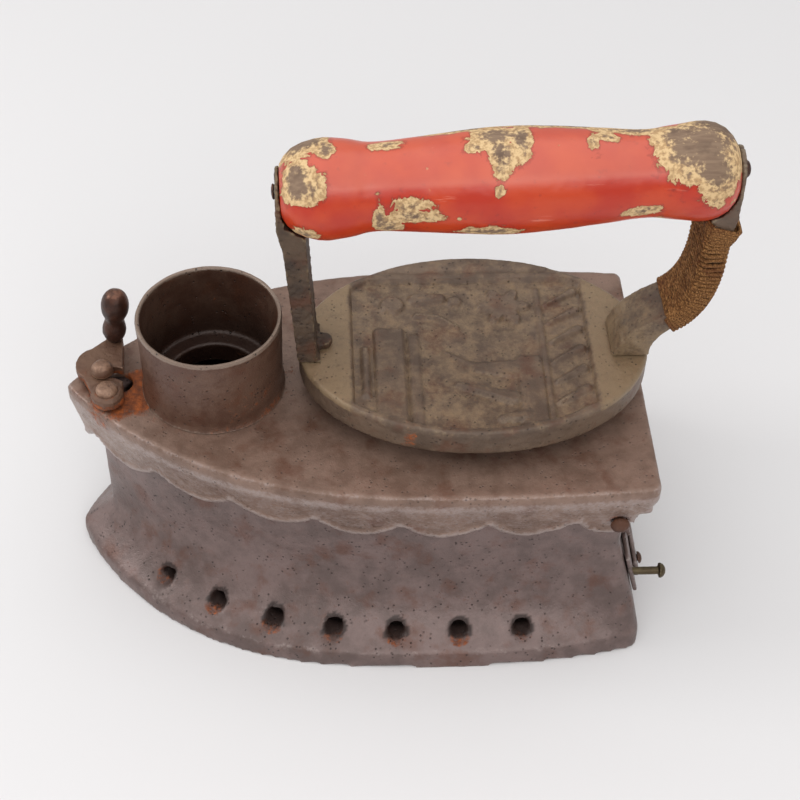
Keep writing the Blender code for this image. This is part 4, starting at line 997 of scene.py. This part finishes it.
def shield_relief(x, y):
    """Height of the shield's face at a place, 0 at its rim."""
    p = Vector((x, y))
    inset = Vector(((x - SHIELD_MIDDLE.x) / (SHIELD_REACH.x - 3.0), y / (SHIELD_REACH.y - 3.0))).length
    inside = (inset - 1) * SHIELD_REACH.y
    recess = max(inside, RECESS_FRONT - x, x - RECESS_REAR, y - RECESS_FAR)
    depth = fade(recess, -0.7, 0.5)
    far_groove = fade(abs(y - RECESS_FAR - 4.6), 0.6, 2.0) * fade(abs(x - SHIELD_MIDDLE.x), 34, 40)
    sag = 0.35 * fade(abs(x - SHIELD_MIDDLE.x), 44, 60) - 0.35
    return depth * (ornament(p) - RECESS) - 0.5 * far_groove + (1 - depth) * sag * 0.6


def ellipse(half_length, half_width, sides=200):
    turns = [FULL_TURN * step / sides for step in range(sides)]
    return [Vector((SHIELD_MIDDLE.x + half_length * math.cos(t), half_width * math.sin(t))) for t in turns]


def make_heat_shield():
    rim_low = SHIELD_TOP - 10.4
    length, width = SHIELD_REACH.x, SHIELD_REACH.y
    rings = [
        at_height(ellipse(length - 3, width - 3), SHIELD_TOP - 3),
        at_height(ellipse(length - 3, width - 3), rim_low),
        at_height(ellipse(length, width), rim_low),
        at_height(ellipse(length, width), SHIELD_TOP - 0.8),
        at_height(ellipse(length - 0.8, width - 0.8), SHIELD_TOP),
    ]
    places = [middle_mm("shield_screw_front").x, middle_mm("shield_screw_rear").x]
    legs = [rod((x, 0, LID_TOP + 0.3), (x, 0, SHIELD_TOP - 1.5), 4.4) for x in places]
    skin = cast(gathered(lofted(rings), *legs), 0.62, 2, 0.0)
    skin.normal_update()
    for corner in skin.verts:
        if corner.normal.z > 0.3 and corner.co.z > SHIELD_TOP - 1.6:
            corner.co.z += shield_relief(corner.co.x, corner.co.y) * fade(SHIELD_TOP - corner.co.z, 0.2, 1.2)

    def dust(p):
        if p.z < SHIELD_TOP - 2.4:
            return 0.0
        level = shield_relief(p.x, p.y)
        ends = 1.0 - fade(max(RECESS_FRONT - p.x, p.x - RECESS_REAR), -1, 2)
        return 0.42 + 0.5 * ends + 0.16 * fade(level + RECESS, 0.15, 0.8)

    def rust(p):
        side = fade(p.z - rim_low, 5.0, 9.5) * (0.12 if p.z < SHIELD_TOP - 1 else 0)
        near_edge = fade(abs(p.x - 17.5), 1, 4) * fade(p.y + 36, 0, 5) * 0.35
        return side + near_edge + fade(math.hypot(p.x - 100, p.y + 6), 4, 14) * 0.25

    skin = roughened(skin, 0.13, 2.2, 9.0)
    marks = {"rust": rust, "wear": dust}
    finished("heat_shield_casting", skin, "lid", SHIELD_IRON, ["heat_shield"], marks)


# ---------------------------------------------------------------- handle


def grip_ends():
    """The two ends of the grip's axis, from its box: the grip leans a little, its ends are round."""
    low, high = box_mm("grip")
    front_z, rear_z = SHIELD_TOP + 68.8, SHIELD_TOP + 75.5
    lean = math.atan2(rear_z - front_z, high.x - low.x)
    inset = 9.0 * math.sin(lean)
    return Vector((low.x + inset, 0, front_z)), Vector((high.x - inset, 0, rear_z))


def smooth_through(points, steps):
    given = [Vector(p) for p in points]
    ends = [2 * given[0] - given[1]] + given + [2 * given[-1] - given[-2]]
    curve = []
    for index in range(1, len(ends) - 2):
        before, start, end, after = ends[index - 1 : index + 3]
        for step in range(steps):
            t = step / steps
            bend = (2 * before - 5 * start + 4 * end - after) * t**2
            bend += (3 * start - before - 3 * end + after) * t**3
            curve.append(0.5 * (2 * start + (end - before) * t + bend))
    return curve + [given[-1]]


def smoothed_profile(profile):
    """The profile with its corners eased, its ends kept."""
    points = [Vector(p) for p in profile]
    for _ in range(2):
        middle = [(a + 2 * b + c) / 4 for a, b, c in zip(points, points[1:], points[2:])]
        points = points[:2] + middle[1:-1] + points[-2:]
    return [tuple(p) for p in points]


# Where the paint has chipped: distance along the grip, angle from its top towards the near side (degrees),
# reach along it, reach round it (both in millimetres) and strength.
CHIPS = (
    (133, 20, 15, 14, 1.0), (137, 48, 9, 11, 1.0), (126, 2, 9, 8, 0.9), (139, -20, 12, 12, 1.0),
    (6, 42, 6, 8, 1.0), (11, 50, 5, 5, 0.6), (8, -22, 9, 8, 1.0), (15, 0, 3, 5, 0.7),
    (69, -6, 9, 6, 0.9), (70, 22, 5, 8, 0.85), (76, 2, 4, 9, 0.8), (62, 10, 4, 3, 0.5),
    (92, -34, 24, 4, 0.8), (112, -22, 14, 4, 0.7), (60, -34, 14, 4, 0.7), (99, 6, 2, 4, 0.4),
    (104, -2, 4, 3, 0.5), (34, -12, 5, 3, 0.6), (31, 96, 2, 8, 0.6), (42, 92, 9, 3, 0.6),
    (41, 76, 6, 3, 0.4), (34, 112, 4, 5, 0.5), (69, 62, 2, 2, 0.5), (8, 118, 5, 4, 0.5),
    (114, 106, 6, 3, 0.6), (66, 120, 10, 4, 0.6), (137, 90, 3, 4, 0.4), (58, 190, 20, 6, 0.6),
    (120, 165, 10, 8, 0.5), (20, 230, 8, 9, 0.6), (132, 250, 12, 10, 0.7), (88, 250, 9, 5, 0.5),
)


def make_grip():
    start, end = grip_ends()
    length = (end - start).length
    swell = [(16.7, 0.089), (15.6, 0.151), (14.2, 0.206), (15.3, 0.315), (17.2, 0.48)]
    swell += [(16.3, 0.631), (14.0, 0.788), (14.8, 0.85), (16.3, 0.927)]
    profile = [(2.3, 0.0), (8.6, 0.0), (11.2, 1.1), (13.6, 3.2), (15.5, 6.6)]
    profile += [tuple(p) for p in smooth_through([(radius, share * length) for radius, share in swell], 6)]
    profile += [(15.6, length - 6.2), (13.9, length - 3.1), (11.4, length - 1.1)]
    profile += [(8.6, length), (2.3, length)]
    mesh = turned(smoothed_profile(profile), 140, 1.1)
    mesh.transform(along(start, end))
    axis = (end - start).normalized()

    def bare(p):
        reach = (p - start).dot(axis)
        away = p - start - axis * reach
        angle = math.degrees(math.atan2(-away.y, away.z))
        radius = max(away.length, 5.0)
        strongest = -0.75
        for place, turn, long, wide, strength in CHIPS:
            arc = math.radians((angle - turn + 180) % 360 - 180) * radius
            far = math.hypot((reach - place) / long, arc / wide)
            strongest = max(strongest, strength * (1 - far))
        return strongest

    # Painted sheen: 1 on the grip's upper side, from 26 degrees beyond the top on the far side to 50 degrees
    # on the near side, easing off over 8 degrees.
    def faded(p):
        away = p - start - axis * (p - start).dot(axis)
        angle = math.degrees(math.atan2(-away.y, away.z))
        return fade(abs(angle - 12), 38, 46)

    finished(
        "painted_grip", roughened(mesh, 0.12, 11.0, 2.0), "lid", PAINTED_WOOD, ["grip"],
        {"bare": bare, "faded": faded},
    )


def make_post_and_arm():
    foot = SHIELD_TOP

    def post_rust(p):
        return 0.02 + 0.1 * fade(p.z - foot, 0, 16) + 0.1 * fade(abs(p.y + 9), 0, 3)

    def arm_rust(p):
        low = fade(p.z - foot, 8, 24) * fade(p.y, -10, 4) * 0.3
        return low * fade(abs(p.x - 106), 3, 9) + 0.05

    skin = cast(copied("front_post"), 0.5, 1, 0.3, 1.5, 4.0)
    finished("front_post_bar", skin, "lid", POST_IRON, ["front_post"], {"rust": post_rust})
    skin = cast(copied("rear_arm"), 0.55, 2, 0.2, 2.0, 6.0)
    dust = {"rust": arm_rust, "wear": lambda p: 0.8 * fade(p.z - foot, 8, 30)}
    finished("rear_arm_bar", skin, "lid", SHIELD_IRON, ["rear_arm"], dust)


# ---------------------------------------------------------------- twine binding

ARM_KEYS = (
    (-7.5, 0.3), (-5.1, 7.2), (0.7, 13.8), (7.5, 18.8),
    (12.3, 26.6), (14.6, 37.2), (15.1, 51.0), (16.9, 58.8),
)
ARM_HALF_WIDTH = 9.2
ARM_HALF_THICKNESS = 3.3
TWINE_THICK = 1.5
BINDING_START = 2.5
BINDING_END = 6.95
TWINE_CORNER = 1.4
TURN_POINTS = 28
STRAY_FIBRES = 700


def arm_line(share):
    """The arm's middle and its direction at a place among its keys: 2.5 is between the third and fourth."""
    keys = [Vector((shield_high.x + x, 0, SHIELD_TOP + z)) for x, z in ARM_KEYS]
    curve = smooth_through(keys, 40)
    index = min(len(curve) - 2, max(1, round(share * 40)))
    return curve[index], (curve[index + 1] - curve[index - 1]).normalized()


def section_point(turn, half_thick, half_wide, corner):
    """A point on a rectangle with round corners, at a share of a turn at even speed: (thick, wide)."""
    flat_t, flat_w = 2 * (half_thick - corner), 2 * (half_wide - corner)
    arc = math.pi / 2 * corner
    way = (turn % 1.0) * (2 * flat_t + 2 * flat_w + 4 * arc)
    x, y, heading = -flat_t / 2, -half_wide, 0.0
    for straight in (flat_t, flat_w, flat_t, flat_w):
        if way <= straight:
            return x + way * math.cos(heading), y + way * math.sin(heading)
        way -= straight
        x, y = x + straight * math.cos(heading), y + straight * math.sin(heading)
        if way <= arc:
            centre_x, centre_y = x - corner * math.sin(heading), y + corner * math.cos(heading)
            angle = heading - math.pi / 2 + way / corner
            return centre_x + corner * math.cos(angle), centre_y + corner * math.sin(angle)
        way -= arc
        x += corner * (math.cos(heading) - math.sin(heading))
        y += corner * (math.sin(heading) + math.cos(heading))
        heading += math.pi / 2
    return x, y


def binding_path():
    """The twine's middle line: turns laid side by side round the arm, each a little uneven."""
    dice = random.Random(11)
    samples = [arm_line(BINDING_START + (BINDING_END - BINDING_START) * step / 200)[0] for step in range(201)]
    length = sum((b - a).length for a, b in zip(samples, samples[1:]))
    turns = int(length / (TWINE_THICK * 0.94))
    path = []
    slack = [dice.uniform(-0.12, 0.12) for _ in range(turns + 2)]
    for step in range(turns * TURN_POINTS + 1):
        turn = step / TURN_POINTS
        share = BINDING_START + (BINDING_END - BINDING_START) * turn / turns
        middle, run = arm_line(share)
        half = TWINE_THICK / 2
        spread = 1.8 * max(0.0, share - 6.0)
        half_thick = ARM_HALF_THICKNESS + spread + half
        thick, wide = section_point(turn, half_thick, ARM_HALF_WIDTH + half, TWINE_CORNER)
        number = int(turn)
        loose = slack[number] + (slack[number + 1] - slack[number]) * (turn - number)
        aside = Vector((run.z, 0, -run.x))
        path.append(middle + aside * (thick * (1 + 0.03 * loose)) + Vector((0, wide, 0)) + run * loose)
    return path


def make_binding():
    data = bpy.data.curves.new("twine", "CURVE")
    data.dimensions = "3D"
    data.bevel_depth = TWINE_THICK * 0.52
    data.bevel_resolution = 2
    data.use_fill_caps = True
    path = binding_path()
    spline = data.splines.new("POLY")
    spline.points.add(len(path) - 1)
    for point, place in zip(spline.points, path):
        point.co = (*place, 1.0)
    dice = random.Random(5)
    for _ in range(STRAY_FIBRES):
        add_hair(data, dice, path)
    holder = bpy.data.objects.new("twine", data)
    bpy.context.scene.collection.objects.link(holder)
    graph = bpy.context.evaluated_depsgraph_get()
    mesh = bmesh.new()
    mesh.from_mesh(holder.evaluated_get(graph).to_mesh())
    bpy.data.objects.remove(holder, do_unlink=True)
    bpy.data.curves.remove(data)
    finished("twine_binding", roughened(mesh, 0.06, 0.8, 1.0), "lid", TWINE, ["twine_wrap"])


def add_hair(data, dice, path):
    """A stray fibre that starts on a turn and lies nearly along it."""
    index = dice.randrange(2, len(path) - 12)
    start = path[index]
    middle, _ = arm_line(BINDING_START + (BINDING_END - BINDING_START) * index / len(path))
    out = (start - middle).normalized()
    run = (path[index + 3] - start).normalized()
    lift = dice.uniform(0.1, 0.5)
    length = dice.uniform(1.5, 4.0)
    aside = run.cross(out) * dice.uniform(-0.5, 0.5)
    spline = data.splines.new("POLY")
    spline.points.add(3)
    for step, point in enumerate(spline.points):
        share = step / 3
        place = start + out * (0.7 + lift * share) + (run + aside * share) * length * share
        point.co = (*place, 1.0)
        point.radius = 0.11 - 0.06 * share


# ---------------------------------------------------------------- latch and small fittings


def domed(radius, base, height, points=7):
    """The rounded head of a rivet, as (radius, height) pairs from its rim to its crown."""
    shape = [(radius * 0.97, base), (radius, base + 0.12 * height)]
    for step in range(1, points + 1):
        angle = math.pi / 2 * step / points
        shape.append((radius * math.cos(angle) ** 0.8, base + height * (0.12 + 0.88 * math.sin(angle))))
    return shape


def make_latch():
    lever_high = box_mm("latch_lever")[1]
    pivot = middle_mm("latch_pivot_rivet")
    top = lever_high.z
    boss = turned([(0, top - 1.5), (5.2, top - 1.5), (5.2, top + 0.4), (4.6, top + 0.9), (0, top + 0.9)], 48)
    bmesh.ops.translate(boss, vec=(pivot.x, pivot.y, 0), verts=boss.verts)

    def rust(p):
        rim = 1 - fade(top - p.z, 0.6, 2.0)
        return 0.1 + 0.5 * rim + 0.35 * fade(math.hypot(p.x - pivot.x, p.y - pivot.y) - 5.2, -1.0, 0.8) * 0.6

    skin = cast(gathered(copied("latch_lever"), boss), 0.34, 3, 0.12, 2.0, 8.0)
    finished("latch_lever_arm", skin, "latch", LATCH_IRON, ["latch_lever"], {"rust": rust})

    for name, node, body, radius, height in (
        ("latch_rivet", "latch_pivot_rivet", "lid", 3.9, 2.6),
        ("catch_knob", "catch_stud", "root", 4.0, 4.2),
    ):
        low, high = box_mm(node)
        place = (low + high) / 2
        profile = [(0, low.z), (1.9, low.z), (1.9, high.z - height)] + domed(radius, high.z - height, height)
        mesh = turned(profile, 40, 0.6)
        bmesh.ops.translate(mesh, vec=(place.x, place.y, 0), verts=mesh.verts)
        mesh = roughened(mesh, 0.1, 1.6, 7.0)
        finished(name, mesh, body, LATCH_IRON, [node], {"wear": top_wear(high.z)})


def top_wear(top):
    return lambda p: 0.7 * fade(top - p.z, 0.4, 2.4)


def make_knob():
    low, high = box_mm("latch_knob")
    lever_top = box_mm("latch_lever")[1].z + 0.6
    lean = math.radians(7.0)
    profile = [(0, 0), (2.6, 0), (3.9, 1.2), (4.4, 3.2), (4.4, 5.2)]
    profile += [(4.1, 6.6), (3.6, 8.0), (3.3, 8.8), (3.5, 9.6)]
    ball = 14.0
    for turn in range(35, 180, 12):
        angle = math.radians(turn)
        profile.append((5.0 * math.sin(angle) ** 0.8, 9.0 + ball * 0.5 * (1 - math.cos(angle))))
    profile.append((0, 9.0 + ball))
    mesh = turned(smoothed_profile(profile), 48, 0.8)
    mesh.transform(Matrix.Rotation(lean, 4, "Y"))
    tip = Vector((BOX_PLAN.nose + 6.4, 17.4, lever_top))
    bmesh.ops.translate(mesh, vec=tip, verts=mesh.verts)
    stem = rod((tip.x, tip.y, low.z), (tip.x, tip.y, tip.z + 3), 1.5)
    mesh = roughened(gathered(mesh, stem), 0.1, 2.5, 3.0)
    wear = {"wear": top_wear(high.z)}
    finished("latch_handle", mesh, "latch", KNOB_IRON, ["latch_knob"], wear)


# Small castings: node, size of the even faces, rounds of smoothing, body, finish, unevenness.
RECAST = (
    ("hinge_pin", 0.3, 3, "root", RUSTY_STEEL, 0.1),
    ("handle_rod", 0.35, 2, "lid", KNOB_IRON, 0.06),
    ("handle_nut", 0.25, 3, "lid", KNOB_IRON, 0.08),
    ("draught_pull", 0.25, 3, "slide", DULL_STEEL, 0.05),
    ("draught_slide", 0.5, 1, "slide", BOX_IRON, 0.08),
    ("slide_rail_upper", 0.5, 1, "root", BOX_IRON, 0.1),
    ("slide_rail_lower", 0.5, 1, "root", BOX_IRON, 0.1),
    ("charcoal_grate", 0.8, 1, "grate", SOOTY_IRON, 0.12),
)


def make_small_castings():
    for node, size, rounds, body, finish, rough in RECAST:
        skin = cast(copied(node), size, rounds, rough, 1.8, 2.0)
        finished(node + "_piece", skin, body, finish, [node])
    for number in range(1, 5):
        node = f"rail_rivet_{number}"
        skin = cast(copied(node), 0.2, 3, 0.05, 1.5, number)
        finished(node + "_piece", skin, "root", RUSTY_STEEL, [node])


def dress_hidden_fittings():
    """The nuts, washers and screws under the shield and beside the hinge keep their own shapes."""
    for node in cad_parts.values():
        if node.hide_render:
            continue
        node.data.materials.clear()
        node.data.materials.append(RUSTY_STEEL)


# ---------------------------------------------------------------- the whole scene


def make_floor():
    mesh = bmesh.new()
    bmesh.ops.create_grid(mesh, x_segments=8, y_segments=8, size=4.0)
    data = bpy.data.meshes.new("floor")
    mesh.to_mesh(data)
    mesh.free()
    data.materials.append(floor_finish())
    floor = bpy.data.objects.new("floor", data)
    bpy.context.scene.collection.objects.link(floor)


make_camera()
make_studio()
make_floor()
make_fire_box()
make_lid()
make_chimney()
make_heat_shield()
make_post_and_arm()
make_binding()
make_grip()
make_latch()
make_knob()
make_small_castings()
dress_hidden_fittings()
